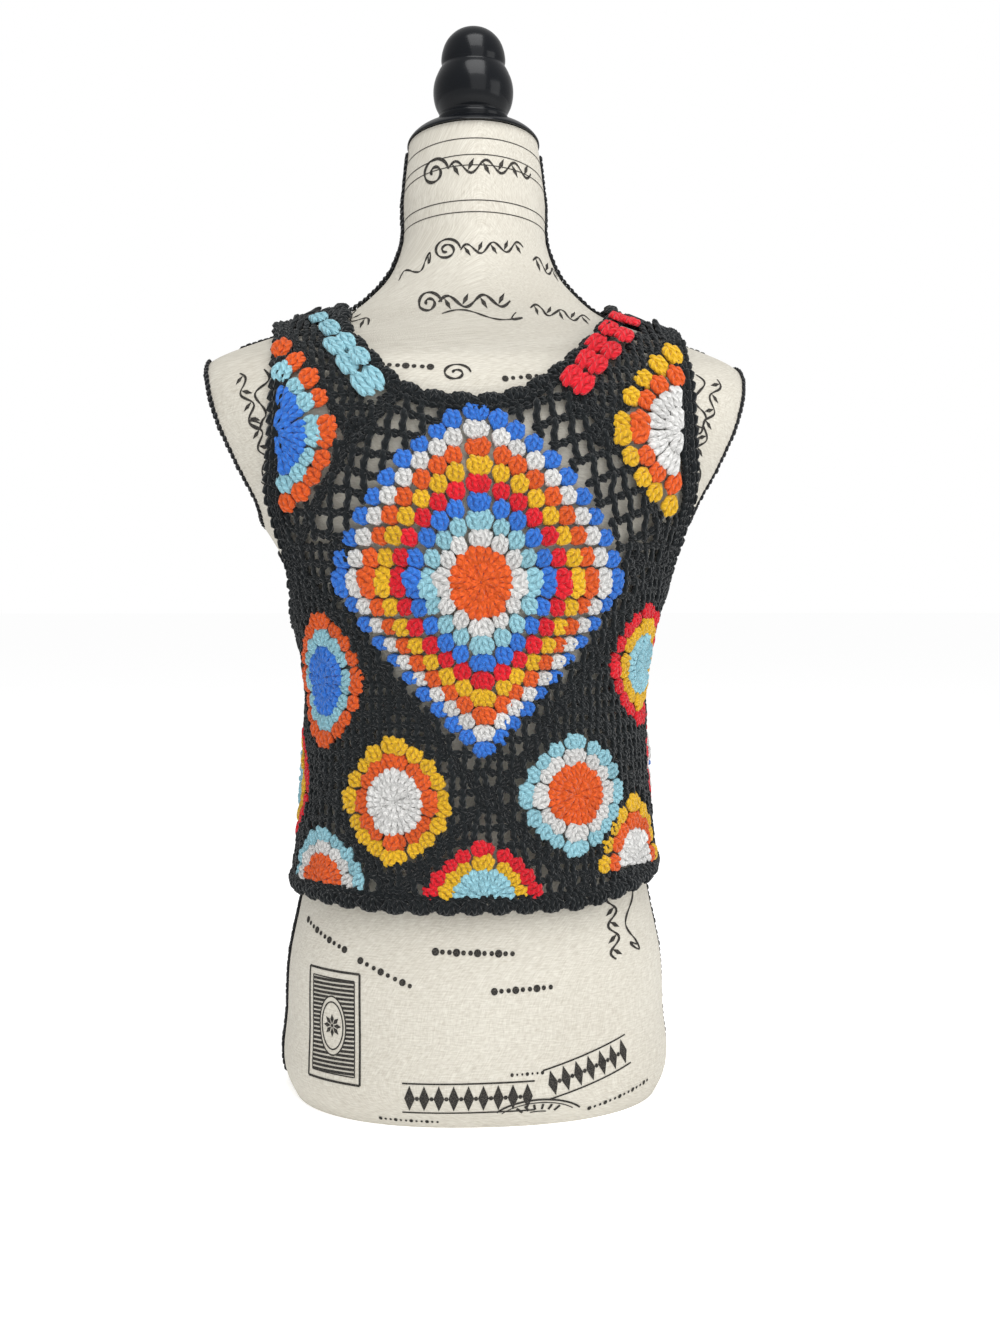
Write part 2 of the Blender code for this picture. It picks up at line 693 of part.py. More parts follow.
def build_trims(collection):
    side_heights = [height for height in FORM_RINGS if 0.01 < height <= PLATE_START]
    shoulder_heights = [height for height in FORM_RINGS if 0.52 < height < NECK_TOP] + [NECK_TOP - 0.006]
    for side, name in ((-1, "left"), (1, "right")):
        trim_strip("side_trim_" + name, side_heights, side, collection)
        trim_strip("shoulder_trim_" + name, shoulder_heights, side, collection)
        plate_trim("plate_trim_" + name, side, collection)


def main():
    clear_scene()
    collection = bpy.data.collections.new("crochet_top_on_dress_form")
    bpy.context.scene.collection.children.link(collection)
    build_torso(collection)
    build_cap_and_finial(collection)
    build_trims(collection)
    build_squares(collection)
    build_big_squares(collection)
    build_armhole_motifs(collection)
    build_underarms(collection)
    build_hem_halves(collection)
    build_edgings(collection)


main()
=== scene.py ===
"""Crochet top of granny squares, worn by a limbless linen dress form.

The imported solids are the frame. Every cloth piece is made of yarn here: dense rounds of treble clusters in
colour, and an open black net round them. Metres, +Z up. The back of the top faces -Y.
A place on the form has a turn (0 at the back centre, a quarter turn at the +X side, half a turn at the front
centre) and a height. A place on a panel has an s, the length round the cloth from the panel's middle, to the
right as one looks at it, and a height.
"""
import math
from collections import namedtuple

import bpy
import numpy as np
from bpy.props import FloatProperty, FloatVectorProperty, IntProperty, PointerProperty
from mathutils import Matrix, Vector
from mathutils.bvhtree import BVHTree


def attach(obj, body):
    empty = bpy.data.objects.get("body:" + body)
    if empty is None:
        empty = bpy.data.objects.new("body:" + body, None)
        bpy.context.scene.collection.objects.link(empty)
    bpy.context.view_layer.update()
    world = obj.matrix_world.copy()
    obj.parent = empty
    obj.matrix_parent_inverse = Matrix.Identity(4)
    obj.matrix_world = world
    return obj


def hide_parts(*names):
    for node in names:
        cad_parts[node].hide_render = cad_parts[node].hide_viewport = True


bl_info = {
    "name": "Crochet top on a dress form",
    "version": (1, 0, 0),
    "blender": (4, 5, 0),
    "location": "3D View > Sidebar > Crochet top",
    "description": "Builds a granny square top of yarn on a linen dress form",
    "category": "Add Mesh",
}

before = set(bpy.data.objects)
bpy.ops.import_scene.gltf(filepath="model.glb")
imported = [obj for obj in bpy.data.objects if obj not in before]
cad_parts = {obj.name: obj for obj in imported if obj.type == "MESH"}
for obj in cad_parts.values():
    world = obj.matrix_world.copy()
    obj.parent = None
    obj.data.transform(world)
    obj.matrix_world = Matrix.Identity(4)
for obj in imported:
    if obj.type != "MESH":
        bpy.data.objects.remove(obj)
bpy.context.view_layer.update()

# ------------------------------------------------------------------ sizes shared with the solids
FORWARD = -0.0068
COLUMNS = 6
HEM_ROW = 3
ROW_HEIGHT = {0: 0.362, 1: 0.289, 2: 0.218, HEM_ROW: 0.150}
LEFT_LIFT = 0.005
RIGHT_LIFT = 0.020
UNDERARM_HEIGHT = 0.322
ARMHOLE_WIDTH = 0.130
ARMHOLE_FLARE = 0.006
ARMHOLE_CURVE_TOP = 0.420
ARMHOLE_SEAM_RISE = 0.56
MOTIF_TOP_HEIGHT = 0.526
STRAP_WIDTH_IN = 0.098
STRAP_BASE = 0.440
JOIN = {"back_left": (0.0885, 0.456), "back_right": (0.0775, 0.4605), "front": (0.0870, 0.450)}
BIG_SQUARE_SIDE = ((0.1215, 0.385), (0.1115, 0.412), (0.0995, 0.434))
PLATE_START = 0.385
PLATE_EDGE_LOW = 0.403
PLATE_EDGE_HIGH = 0.5155
PLATE_SPAN = math.pi / 2 - 0.25
NECK_TOP = 0.676
NECK_TILT = 0.14
NECK_TILT_START = 0.598
FINIAL_FOOT = 0.694
CAP_OVERHANG = 0.0012

Section = namedtuple("Section", "height half_width back front centre squareness")
FORM = (
    Section(0.000, 0.1300, 0.1010, 0.1010, 0.000, 2.25),
    Section(0.010, 0.1350, 0.1060, 0.1060, 0.000, 2.25),
    Section(0.060, 0.1352, 0.1060, 0.1060, 0.000, 2.25),
    Section(0.095, 0.1335, 0.1030, 0.1040, 0.000, 2.25),
    Section(0.135, 0.1255, 0.0960, 0.0990, 0.000, 2.22),
    Section(0.185, 0.1165, 0.0890, 0.0920, 0.000, 2.20),
    Section(0.240, 0.1125, 0.0850, 0.0890, 0.000, 2.18),
    Section(0.290, 0.1150, 0.0860, 0.0975, 0.000, 2.20),
    Section(0.335, 0.1235, 0.0900, 0.1080, 0.000, 2.22),
    Section(0.375, 0.1350, 0.0930, 0.1150, 0.000, 2.25),
    Section(0.410, 0.1560, 0.0950, 0.1150, 0.000, 2.25),
    Section(0.445, 0.1800, 0.0940, 0.1085, 0.000, 2.25),
    Section(0.480, 0.1960, 0.0880, 0.0960, 0.000, 2.25),
    Section(0.504, 0.1970, 0.0780, 0.0780, 0.000, 2.20),
    Section(0.519, 0.1830, 0.0670, 0.0660, 0.001, 2.15),
    Section(0.531, 0.1530, 0.0610, 0.0590, 0.002, 2.10),
    Section(0.547, 0.1020, 0.0560, 0.0530, 0.004, 2.05),
    Section(0.570, 0.0690, 0.0520, 0.0500, 0.006, 2.00),
    Section(0.598, 0.0530, 0.0490, 0.0490, 0.009, 2.00),
    Section(0.635, 0.0510, 0.0480, 0.0480, 0.013, 2.00),
    Section(NECK_TOP, 0.0465, 0.0450, 0.0450, 0.018, 2.00),
)

Plate = namedtuple("Plate", "height half_width")
PLATES = (
    Plate(PLATE_START, 0.1500),
    Plate(0.410, 0.1520),
    Plate(0.445, 0.1685),
    Plate(0.475, 0.1815),
    Plate(0.495, 0.1865),
    Plate(0.508, 0.1885),
    Plate(0.520, 0.1870),
    Plate(0.535, 0.1870),
)

Hang = namedtuple("Hang", "height distance")
HANGS = (
    Hang(0.14, 0.0075),
    Hang(0.20, 0.0100),
    Hang(0.245, 0.0095),
    Hang(0.29, 0.0055),
    Hang(0.325, 0.0050),
    Hang(0.37, 0.0056),
    Hang(0.42, 0.0056),
    Hang(0.47, 0.0046),
    Hang(0.50, 0.0048),
    Hang(0.53, 0.0055),
    Hang(0.70, 0.0055),
)

Neckline = namedtuple("Neckline", "width back_left back_right front")
NECKLINE = (
    Neckline(0.000, 0.4760, 0.4760, 0.4760),
    Neckline(0.020, 0.4765, 0.4800, 0.4770),
    Neckline(0.040, 0.4785, 0.4900, 0.4825),
    Neckline(0.057, 0.4845, 0.5020, 0.4925),
    Neckline(0.070, 0.4950, 0.5140, 0.5035),
    Neckline(0.083, 0.5105, 0.5270, 0.5175),
    Neckline(0.095, 0.5265, 0.5390, 0.5325),
)
SQUARE_NECK_ROW = 3

# ------------------------------------------------------------------ the motifs
# A motif's colours are named from its centre out, and the two rounds of its middle share the first. Its reach is
# how far its colours go from its centre: across to either side, up and down. Rounds turn from round to square:
# the power is 2 on an ellipse and 1 on a diamond.
Motif = namedtuple("Motif", "node front column row s height across up down rounds power_up power_down",
                   defaults=(1.6, 1.6))
BIG_ROUNDS = ("orange", "white", "light_blue", "blue", "red", "yellow", "orange", "white", "blue")
MOTIFS = (
    Motif("back_centre_square", False, 0, 0, -0.005, 0.362, 0.1025, 0.1165, 0.1190, BIG_ROUNDS, 1.42, 1.06),
    Motif("lower_square_back_left", False, -0.5, 2, -0.0625, 0.2145, 0.0385, 0.0450, 0.0425,
          ("white", "orange", "yellow")),
    Motif("lower_square_back_right", False, 0.5, 2, 0.0610, 0.2190, 0.0410, 0.0420, 0.0420,
          ("orange", "white", "light_blue")),
    Motif("side_square_back_left", False, -1, 1, -0.1210, 0.2960, 0.0360, 0.0480, 0.0480,
          ("blue", "light_blue", "orange")),
    Motif("side_square_back_right", False, 1, 1, 0.1290, 0.3060, 0.0400, 0.0440, 0.0440,
          ("light_blue", "yellow", "red")),
    Motif("lower_square_side_left", False, -1.5, 2, -0.1790, 0.2230, 0.0390, 0.0430, 0.0430,
          ("light_blue", "yellow", "red")),
    Motif("lower_square_side_right", False, 1.5, 2, 0.1790, 0.2380, 0.0390, 0.0430, 0.0430,
          ("blue", "white", "red")),
    Motif("hem_half_back", False, 0, HEM_ROW, -0.0035, 0.1530, 0.0400, 0.0368, 0.0,
          ("light_blue", "yellow", "red"), 1.5, 1.5),
    Motif("hem_half_back_left", False, -1, HEM_ROW, -0.1215, 0.1570, 0.0390, 0.0378, 0.0,
          ("orange", "white", "light_blue")),
    Motif("hem_half_back_right", False, 1, HEM_ROW, 0.1155, 0.1670, 0.0385, 0.0490, 0.0,
          ("white", "orange", "yellow")),
    Motif("armhole_half_back_left", False, -1, 0, -0.1400, 0.4600, 0.0400, 0.0610, 0.0500,
          ("blue", "light_blue", "orange")),
    Motif("armhole_half_back_right", False, 1, 0, 0.1340, 0.4640, 0.0515, 0.0560, 0.0560,
          ("white", "orange", "yellow"), 1.5, 1.5),
    Motif("front_centre_square", True, 3, 0, 0.0, 0.362, 0.1030, 0.1160, 0.1150, BIG_ROUNDS, 1.42, 1.06),
    Motif("lower_square_front_left", True, 0.5, 2, 0.0620, 0.2180, 0.0400, 0.0430, 0.0420,
          ("red", "white", "blue")),
    Motif("lower_square_front_right", True, -0.5, 2, -0.0620, 0.2180, 0.0400, 0.0430, 0.0420,
          ("yellow", "light_blue", "orange")),
    Motif("side_square_front_left", True, 1, 1, 0.1250, 0.2990, 0.0380, 0.0450, 0.0450,
          ("white", "blue", "yellow")),
    Motif("side_square_front_right", True, -1, 1, -0.1250, 0.3060, 0.0380, 0.0450, 0.0450,
          ("orange", "white", "light_blue")),
    Motif("hem_half_front", True, 0, HEM_ROW, 0.0, 0.1530, 0.0400, 0.0382, 0.0,
          ("orange", "light_blue", "blue")),
    Motif("hem_half_front_left", True, 1, HEM_ROW, 0.1230, 0.1550, 0.0390, 0.0410, 0.0,
          ("yellow", "white", "orange")),
    Motif("hem_half_front_right", True, -1, HEM_ROW, -0.1230, 0.1670, 0.0390, 0.0430, 0.0,
          ("blue", "light_blue", "red")),
    Motif("armhole_half_front_left", True, 1, 0, 0.1400, 0.4600, 0.0450, 0.0560, 0.0500,
          ("light_blue", "white", "red")),
    Motif("armhole_half_front_right", True, -1, 0, -0.1400, 0.4600, 0.0450, 0.0560, 0.0520,
          ("red", "yellow", "blue")),
)

CLUSTER_WIDE = 0.0124       # sizes of the stitches as they are made, before they are fitted to their place
CLUSTER_TALL = 0.0140
PAIR_WIDE = 0.0080
PAIR_TALL = 0.0120
POST_TALL = 0.0100
SHELL_WIDE = 0.0185
SHELL_TALL = 0.0090
LINK_LONG = 0.0052
SEAM_INSET = 0.0016
SEAM_WIDTH = 0.85
SEAM_STEP = 0.004
JOIN_RADIUS = 0.0085
LINK_OVERLAP = 1.12         # how much longer a chain's links are than their steps

# A quarter of a round: its stitch and the size that is made in, how far its stitches point away from their feet
# and how far they hang upright, how far they reach below their feet, and how wide they are for their pitch.
Round = namedtuple("Round", "kind wide tall blend upright spare width narrowest widest")
PETALS = Round("pair", PAIR_WIDE, PAIR_TALL, 0.6, 0.0, 0.0030, 1.02, 0.72, 1.10)
SMALL_ROUND = Round("cluster", CLUSTER_WIDE, CLUSTER_TALL, 0.30, 0.12, 0.0042, 0.96, 0.72, 1.10)
BIG_ROUND = Round("cluster", CLUSTER_WIDE, CLUSTER_TALL, 0.30, 0.50, 0.0042, 0.84, 0.80, 1.08)
PETAL_ROUNDS = 2
PETAL_FOOT = 0.12           # the middle's inner line, in rounds
CORNER_FEET = (0.006, 0.994)            # where a round's corner stitches stand, as shares of its quarter
CORNER_BLEND = 0.92
CORNER_WIDTHS = (1.14, 0.90)            # of a big square's first and last stitches
TOP_OVERLAP = 0.0014        # how far a stitch's top passes its line
TALLEST = 1.12              # the longest stitch of a round, in medians
ARMHOLE_LIFT = 0.0012       # the colours beside the armholes lie this far above the cloth's middle

# A mesh's hole pitch across and up, its strand's thickness, and the layer that its level rows are in.
Net = namedtuple("Net", "wide tall strand rows")
OPEN_NET = Net(0.0112, 0.0142, 1.14, "crochet")
MIDDLE_NET = Net(0.0082, 0.0118, 1.04, "crochet")
CLOSE_NET = Net(0.0066, 0.0092, 1.04, "crochet")
STRAP_NET = Net(0.0064, 0.0088, 1.00, "crochet")
UNDERARM_NET = Net(0.0064, 0.0090, 1.05, "joins")
LEAN = 0.026                # how far the shown big square's upright line leans
OPEN_FROM = 0.392           # height above which the mesh round the big squares is open
ARMHOLE_OPEN_FROM = 0.43    # the same round the armhole motifs
MIDDLE_HALF = 0.035         # half the width of the less close mesh between the lower squares
NECK_SLOPES = (0.26, -0.22)             # how its rows slope to the right and to the left of the neckline
NET_STEP = 0.0006
NET_SAG = 0.17              # how deep a mesh's level chains sag, in hole heights
NET_SWAY = 0.0013           # how far its rows wander from level
NET_DRIFT = 0.10            # how far its posts stand from their columns, in hole widths


# ------------------------------------------------------------------ the form's surface
def smooth(table, column, at):
    """A smooth curve through one column of a table, read at the heights given."""
    heights = np.array([row.height for row in table])
    values = np.array([getattr(row, column) for row in table])
    slopes = np.gradient(values, heights)
    low = np.clip(np.searchsorted(heights, at) - 1, 0, len(heights) - 2)
    step = heights[low + 1] - heights[low]
    t = np.clip((at - heights[low]) / step, 0.0, 1.0)
    start = (1 + 2 * t) * (1 - t) ** 2 * values[low] + t * (1 - t) ** 2 * step * slopes[low]
    end = t * t * (3 - 2 * t) * values[low + 1] - t * t * (1 - t) * step * slopes[low + 1]
    return start + end


def torso_point(turn, height):
    turn, height = np.broadcast_arrays(np.asarray(turn, float), np.asarray(height, float))
    power = 2.0 / smooth(FORM, "squareness", height)
    depth = np.where(np.cos(turn) > 0, smooth(FORM, "back", height), smooth(FORM, "front", height))
    x = smooth(FORM, "half_width", height) * np.sign(np.sin(turn)) * np.abs(np.sin(turn)) ** power
    y = smooth(FORM, "centre", height) - depth * np.sign(np.cos(turn)) * np.abs(np.cos(turn)) ** power
    tilt = np.clip((height - NECK_TILT_START) / (NECK_TOP - NECK_TILT_START), 0.0, 1.0) * NECK_TILT
    z = height - tilt * (y - smooth(FORM, "centre", height))
    return np.stack([x, y + FORWARD, z], axis=-1)


def surface_normal(turn, height):
    near = 1e-4
    along = torso_point(turn + near, height) - torso_point(turn - near, height)
    up = torso_point(turn, height + near) - torso_point(turn, height - near)
    normal = np.cross(along, up)
    return normal / np.linalg.norm(normal, axis=-1, keepdims=True)


def turn_at(width, height):
    """The turn on the back at which the torso is a width from its middle, a quarter turn if it's narrower."""
    share = width / smooth(FORM, "half_width", height)
    return math.asin(min(share, 1.0) ** (smooth(FORM, "squareness", height) / 2.0))


def plate_edge(height):
    """The turn at which the torso meets its armhole plate, a quarter turn where there is none."""
    return turn_at(smooth(PLATES, "half_width", height), height)


def form_point(turn, height):
    point = torso_point(turn, height)
    if height > PLATE_START:
        limit = smooth(PLATES, "half_width", height)
        point[..., 0] = np.clip(point[..., 0], -limit, limit)
    return point


def cloth_point(turn, height):
    """The middle of the cloth."""
    distance = smooth(HANGS, "distance", np.asarray(height, float))
    return torso_point(turn, height) + surface_normal(turn, height) * distance[..., None]


class Wrap:
    """Lengths round the body, so that a panel's flat places can be put on it."""

    def __init__(self, surface, low, high):
        self.surface = surface
        self.turns = np.linspace(0.0, math.pi, 181)
        self.heights = np.linspace(low, high, 61)
        turns, heights = np.meshgrid(self.turns, self.heights)
        steps = np.linalg.norm(np.diff(surface(turns, heights), axis=1), axis=2)
        self.lengths = np.concatenate([np.zeros((len(self.heights), 1)), np.cumsum(steps, axis=1)], axis=1)

    def row(self, height):
        at = np.interp(height, self.heights, np.arange(len(self.heights)))
        low = min(int(at), len(self.heights) - 2)
        return self.lengths[low] + (self.lengths[low + 1] - self.lengths[low]) * (at - low)

    def turn(self, s, height, front):
        """The turn of a panel's place. To the right on the front panel is towards -X."""
        lengths = self.row(height)
        if front:
            turn = math.pi - np.interp(abs(s), lengths[-1] - lengths[::-1], self.turns)
            return math.copysign(turn, -s)
        return math.copysign(np.interp(abs(s), lengths, self.turns), s)

    def points(self, flat, front):
        turns = np.array([self.turn(s, height, front) for s, height in flat])
        return self.surface(turns, np.array([height for _, height in flat]))


CLOTH = Wrap(cloth_point, 0.130, 0.560)
SKIN = Wrap(torso_point, 0.010, 0.670)


# ------------------------------------------------------------------ seams, as lists of (turn, height)
def at_column(column, height):
    lengths = CLOTH.row(height)
    return math.copysign(np.interp(abs(column) * lengths[-1] * 2 / COLUMNS, lengths, CLOTH.turns), column), height


def at_width(width, height, front=False):
    turn = turn_at(abs(width), height)
    return math.copysign(math.pi - turn if front else turn, width), height


def ridge_height(width):
    heights = np.linspace(0.60, 0.51, 400)
    return float(np.interp(width, smooth(FORM, "half_width", heights), heights))


def on_rib(width, rise, front=False):
    """A place on the strap: rise goes from 0 at the strap's base to 1 on the shoulder's ridge."""
    top = ridge_height(abs(width))
    return at_width(width, STRAP_BASE + (top - STRAP_BASE) * math.sin(rise * math.pi / 2), front)


def rise_of(width, height):
    return math.asin((height - STRAP_BASE) / (ridge_height(abs(width)) - STRAP_BASE)) / (math.pi / 2)


def lift(column):
    """How much higher a motif sits beside the body than at its middle."""
    away = np.interp(min(abs(column), 3 - abs(column)), (0.4, 1.2), (0.0, 1.0))
    return (RIGHT_LIFT if column > 0 else LEFT_LIFT) * away * away * (3 - 2 * away)


def corner(column, row):
    return at_column(column, ROW_HEIGHT[row] + lift(column))


def straight(start, end, steps=8):
    start, end = np.array(start), np.array(end)
    return [tuple(start + (end - start) * step / steps) for step in range(steps + 1)]


def side_key(side, front):
    return "front" if front else ("back_right" if side > 0 else "back_left")


def sloped(side, front, start, end, steps=8):
    """Places on a straight line between two (width, height) pairs."""
    return [at_width(side * width, height, front) for width, height in straight(start, end, steps)]


def neck_seam(side, front):
    """The neck edge from the middle out to the shoulder's ridge."""
    key = side_key(side, front)
    places = []
    for near, far in zip(NECKLINE, NECKLINE[1:]):
        for share in (0.0, 0.5):
            width = near.width + (far.width - near.width) * share
            height = getattr(near, key) + (getattr(far, key) - getattr(near, key)) * share
            places.append(at_width(side * width, height, front))
    last = NECKLINE[-1]
    start = rise_of(last.width, getattr(last, key))
    for step in range(6):
        width = last.width + (STRAP_WIDTH_IN - last.width) * step / 5
        places.append(on_rib(side * width, start + (1 - start) * step / 5, front))
    return places


def armhole_curve(side, front, start, end, steps=8):
    """The armhole edge below the arm, between two shares of its rise."""
    bottom = UNDERARM_HEIGHT + lift(1.5 * side)
    last, _ = at_width(ARMHOLE_WIDTH + ARMHOLE_FLARE, ARMHOLE_CURVE_TOP, front)
    places = []
    for step in range(steps + 1):
        rise = start + (end - start) * (step / steps) ** 1.5
        turn = math.pi / 2 + (last - math.pi / 2) * rise ** 0.5
        places.append((math.copysign(turn, side), bottom + (ARMHOLE_CURVE_TOP - bottom) * rise))
    return places


def armhole_under(side, front):
    return armhole_curve(side, front, 0.0, ARMHOLE_SEAM_RISE)


def armhole_over(side, front):
    """From the underarm piece to the top of the armhole motif."""
    start = (ARMHOLE_WIDTH + ARMHOLE_FLARE, ARMHOLE_CURVE_TOP)
    curve = armhole_curve(side, front, ARMHOLE_SEAM_RISE, 1.0)
    return curve + sloped(side, front, start, (ARMHOLE_WIDTH, MOTIF_TOP_HEIGHT))[1:]


def armhole_strap(side, front):
    start = rise_of(ARMHOLE_WIDTH, MOTIF_TOP_HEIGHT)
    return [on_rib(side * ARMHOLE_WIDTH, start + (1 - start) * step / 8, front) for step in range(9)]


def flank(side, front):
    """The big square's edge from its outer corner up to the join with the shoulder piece."""
    turns = [corner(side * (2 if front else 1), 0)]
    rest = (*BIG_SQUARE_SIDE, JOIN[side_key(side, front)])
    return turns + [at_width(side * width, height, front) for width, height in rest]


def square_shoulder(side, front):
    top, key = NECKLINE[SQUARE_NECK_ROW], side_key(side, front)
    return sloped(side, front, JOIN[key], (top.width, getattr(top, key)))


def motif_shoulder(side, front):
    return sloped(side, front, JOIN[side_key(side, front)], (ARMHOLE_WIDTH, MOTIF_TOP_HEIGHT))


def hem_seam(column):
    start = corner(column - 0.5, HEM_ROW)
    if column == -3:
        start = (corner(2.5, HEM_ROW)[0] - 2 * math.pi, start[1])
    return straight(start, corner(column + 0.5, HEM_ROW))


# ------------------------------------------------------------------ lines on the cloth
def on_cloth(places):
    places = np.array(places)
    return cloth_point(places[:, 0], places[:, 1])


def lengths_along(points):
    return np.concatenate([[0.0], np.cumsum(np.linalg.norm(np.diff(points, axis=0), axis=1))])


def at_lengths(points, wanted):
    along = lengths_along(points)
    return np.stack([np.interp(wanted, along, points[:, axis]) for axis in range(3)], axis=1)


def evenly(points, count):
    """A line's points spaced evenly, both ends kept."""
    return at_lengths(points, np.linspace(0.0, lengths_along(points)[-1], count))


def unit(vectors):
    return vectors / np.maximum(np.linalg.norm(vectors, axis=-1, keepdims=True), 1e-9)


def tangents(points):
    return unit(np.gradient(points, axis=0))


class Drape:
    """The cloth's middle surface, onto which loose points are put."""

    def __init__(self, surface, low, high):
        turns, heights = np.meshgrid(np.linspace(-math.pi, math.pi, 361), np.linspace(low, high, 190))
        points = surface(turns, heights)
        rows, wide = turns.shape
        index = np.arange(rows * wide).reshape(rows, wide)
        quads = np.stack([index[:-1, :-1], index[:-1, 1:], index[1:, 1:], index[1:, :-1]], axis=-1)
        self.tree = BVHTree.FromPolygons(points.reshape(-1, 3).tolist(), quads.reshape(-1, 4).tolist())

    def snap(self, points):
        found = [self.tree.find_nearest(Vector(point)) for point in points]
        return np.array([hit[0] for hit in found]), np.array([hit[1] for hit in found])


CLOTH_SURFACE = Drape(cloth_point, 0.125, 0.575)


# ------------------------------------------------------------------ the stitches a piece is made of
KINDS = ("cluster", "pair", "post", "link", "shell")
LAYERS = ("crochet", "rounds", "middle", "joins")       # open mesh, colours, their middle, joining chains


class Stitches:
    """The places, directions, sizes and colours of one piece's stitches."""

    def __init__(self, seed):
        self.rows = {layer: {kind: [] for kind in KINDS} for layer in LAYERS}
        self.layer = "crochet"
        self.lift = 0.0
        self.random = np.random.default_rng(seed)

    def add(self, kind, points, outward, size, colour, normals=None):
        """Stitches of one kind that grow outward from their points. Sizes are width, length and depth."""
        if normals is None:
            points, normals = CLOTH_SURFACE.snap(points)
        points = points + normals * self.lift
        outward = outward - normals * np.sum(outward * normals, axis=1, keepdims=True)
        size = np.broadcast_to(np.asarray(size, float), points.shape)
        tint = np.broadcast_to(np.asarray(colour, float), points.shape)
        shade = 1.0 + self.random.normal(0.0, 0.05, len(points))
        tint = np.clip(tint * shade[:, None], 0.0, 1.0)
        self.rows[self.layer][kind].append(np.concatenate([points, unit(outward), normals, size, tint], axis=1))

    def chain(self, points, colour, width=1.0, reach=1.0):
        """A row of chain stitches along a line."""
        long = lengths_along(points)[-1]
        count = int(long / LINK_LONG / reach)
        if count < 1:
            return
        places = at_lengths(points, np.linspace(0.0, long, count + 1))
        steps = np.diff(places, axis=0)
        size = np.stack([np.full(count, width), np.linalg.norm(steps, axis=1) / LINK_LONG * LINK_OVERLAP,
                         np.full(count, width)], axis=1)
        self.add("link", places[:-1], steps, size, colour)

    def table(self, layer):
        """The kinds of a layer's stitches, and their places and sizes."""
        rows = {index: np.concatenate(found) for index, found in enumerate(self.rows[layer].values()) if found}
        kinds = [np.full(len(found), index) for index, found in rows.items()]
        return (np.concatenate(kinds), np.concatenate(list(rows.values()))) if rows else (None, None)


def round_line(motif, share, power, quadrant, samples=25):
    """A quarter of one round. Quarters run anticlockwise from the right."""
    swing = np.linspace(0.0, math.pi / 2, samples)
    cos, sin = np.cos(swing) ** (2 / power), np.sin(swing) ** (2 / power)
    if quadrant % 2:
        cos, sin = cos[::-1], sin[::-1]
    right = 1 if quadrant in (0, 3) else -1
    rise = motif.up if quadrant < 2 else -motif.down
    lean = LEAN if motif.node == "back_centre_square" else 0.0
    flat = [(motif.s + right * motif.across * share * c - lean * rise * share * s, motif.height + rise * share * s)
            for c, s in zip(cos, sin)]
    return CLOTH.points(flat, motif.front)


def quadrants_of(motif):
    if motif.node.startswith("hem"):
        return (0, 1)
    if motif.node.startswith("armhole"):
        return (3, 0) if motif.s < 0 else (1, 2)
    return (0, 1, 2, 3)


def round_power(motif, number, quadrant):
    """Rounds start round and end as square as the motif."""
    last = motif.power_up if quadrant < 2 else motif.power_down
    share = max(0.0, (number - PETAL_ROUNDS) / (len(motif.rounds) + 1 - PETAL_ROUNDS))
    return 2.0 + (last - 2.0) * share ** 0.7


def round_shares(count, big, from_side):
    """Where a round's clusters stand along its quarter. On a big square they are closer by its top and bottom."""
    steps = np.ones(count - 1)
    ends = 0.5, 0.5
    if big:
        steps = 0.78 + 0.22 * np.minimum(1.0, np.arange(count - 1) / (0.35 * count))
        ends = 0.32, 0.44
    shares = (np.concatenate([[0.0], np.cumsum(steps)]) + ends[0]) / (steps.sum() + sum(ends))
    return 1.0 - shares[::-1] if from_side else shares


def quarter_round(stitches, style, quadrant, inner, outer, count, colour):
    """A quarter of one round, whose stitches stand on its inner line and reach its outer one."""
    from_side = quadrant % 2 == 0
    wide = lengths_along(outer)[-1]
    shares = round_shares(count, style is BIG_ROUND, from_side)
    top = at_lengths(outer, shares * wide)
    feet, blend = shares.copy(), np.full(count, style.blend)
    if style is not PETALS:
        feet[[0, -1]], blend[[0, -1]] = CORNER_FEET, CORNER_BLEND
    base = at_lengths(inner, feet * lengths_along(inner)[-1])
    ahead = at_lengths(outer, np.minimum(shares + 0.02, 1.0) * wide)
    _, normals = CLOTH_SURFACE.snap(top)
    square = unit(np.cross(unit(ahead - top), normals))
    outward = unit(square * (1 - blend[:, None]) + unit(top - base) * blend[:, None])
    upright = np.zeros(count)
    upright[1:-1] = style.upright
    hang = np.array([0.0, 0.0, 1.0 if quadrant < 2 else -1.0])
    outward = unit(outward * (1 - upright[:, None]) + hang * upright[:, None])
    tall = np.linalg.norm(top - base, axis=1)
    tall = np.minimum(tall, TALLEST * np.median(tall)) / np.maximum(0.7, np.sum(outward * square, axis=1)) ** 0.6
    long = tall + style.spare
    width = np.full(count, np.clip(wide / count / style.wide * style.width, style.narrowest, style.widest))
    if style is BIG_ROUND:
        width[[0, -1]] = CORNER_WIDTHS if from_side else CORNER_WIDTHS[::-1]
    size = np.stack([width, long / style.tall, 0.5 + 0.5 * width], axis=1)
    size *= stitches.random.uniform(0.95, 1.05, (count, 1))
    stitches.add(style.kind, top + outward * (TOP_OVERLAP - long[:, None]), outward, size, colour)


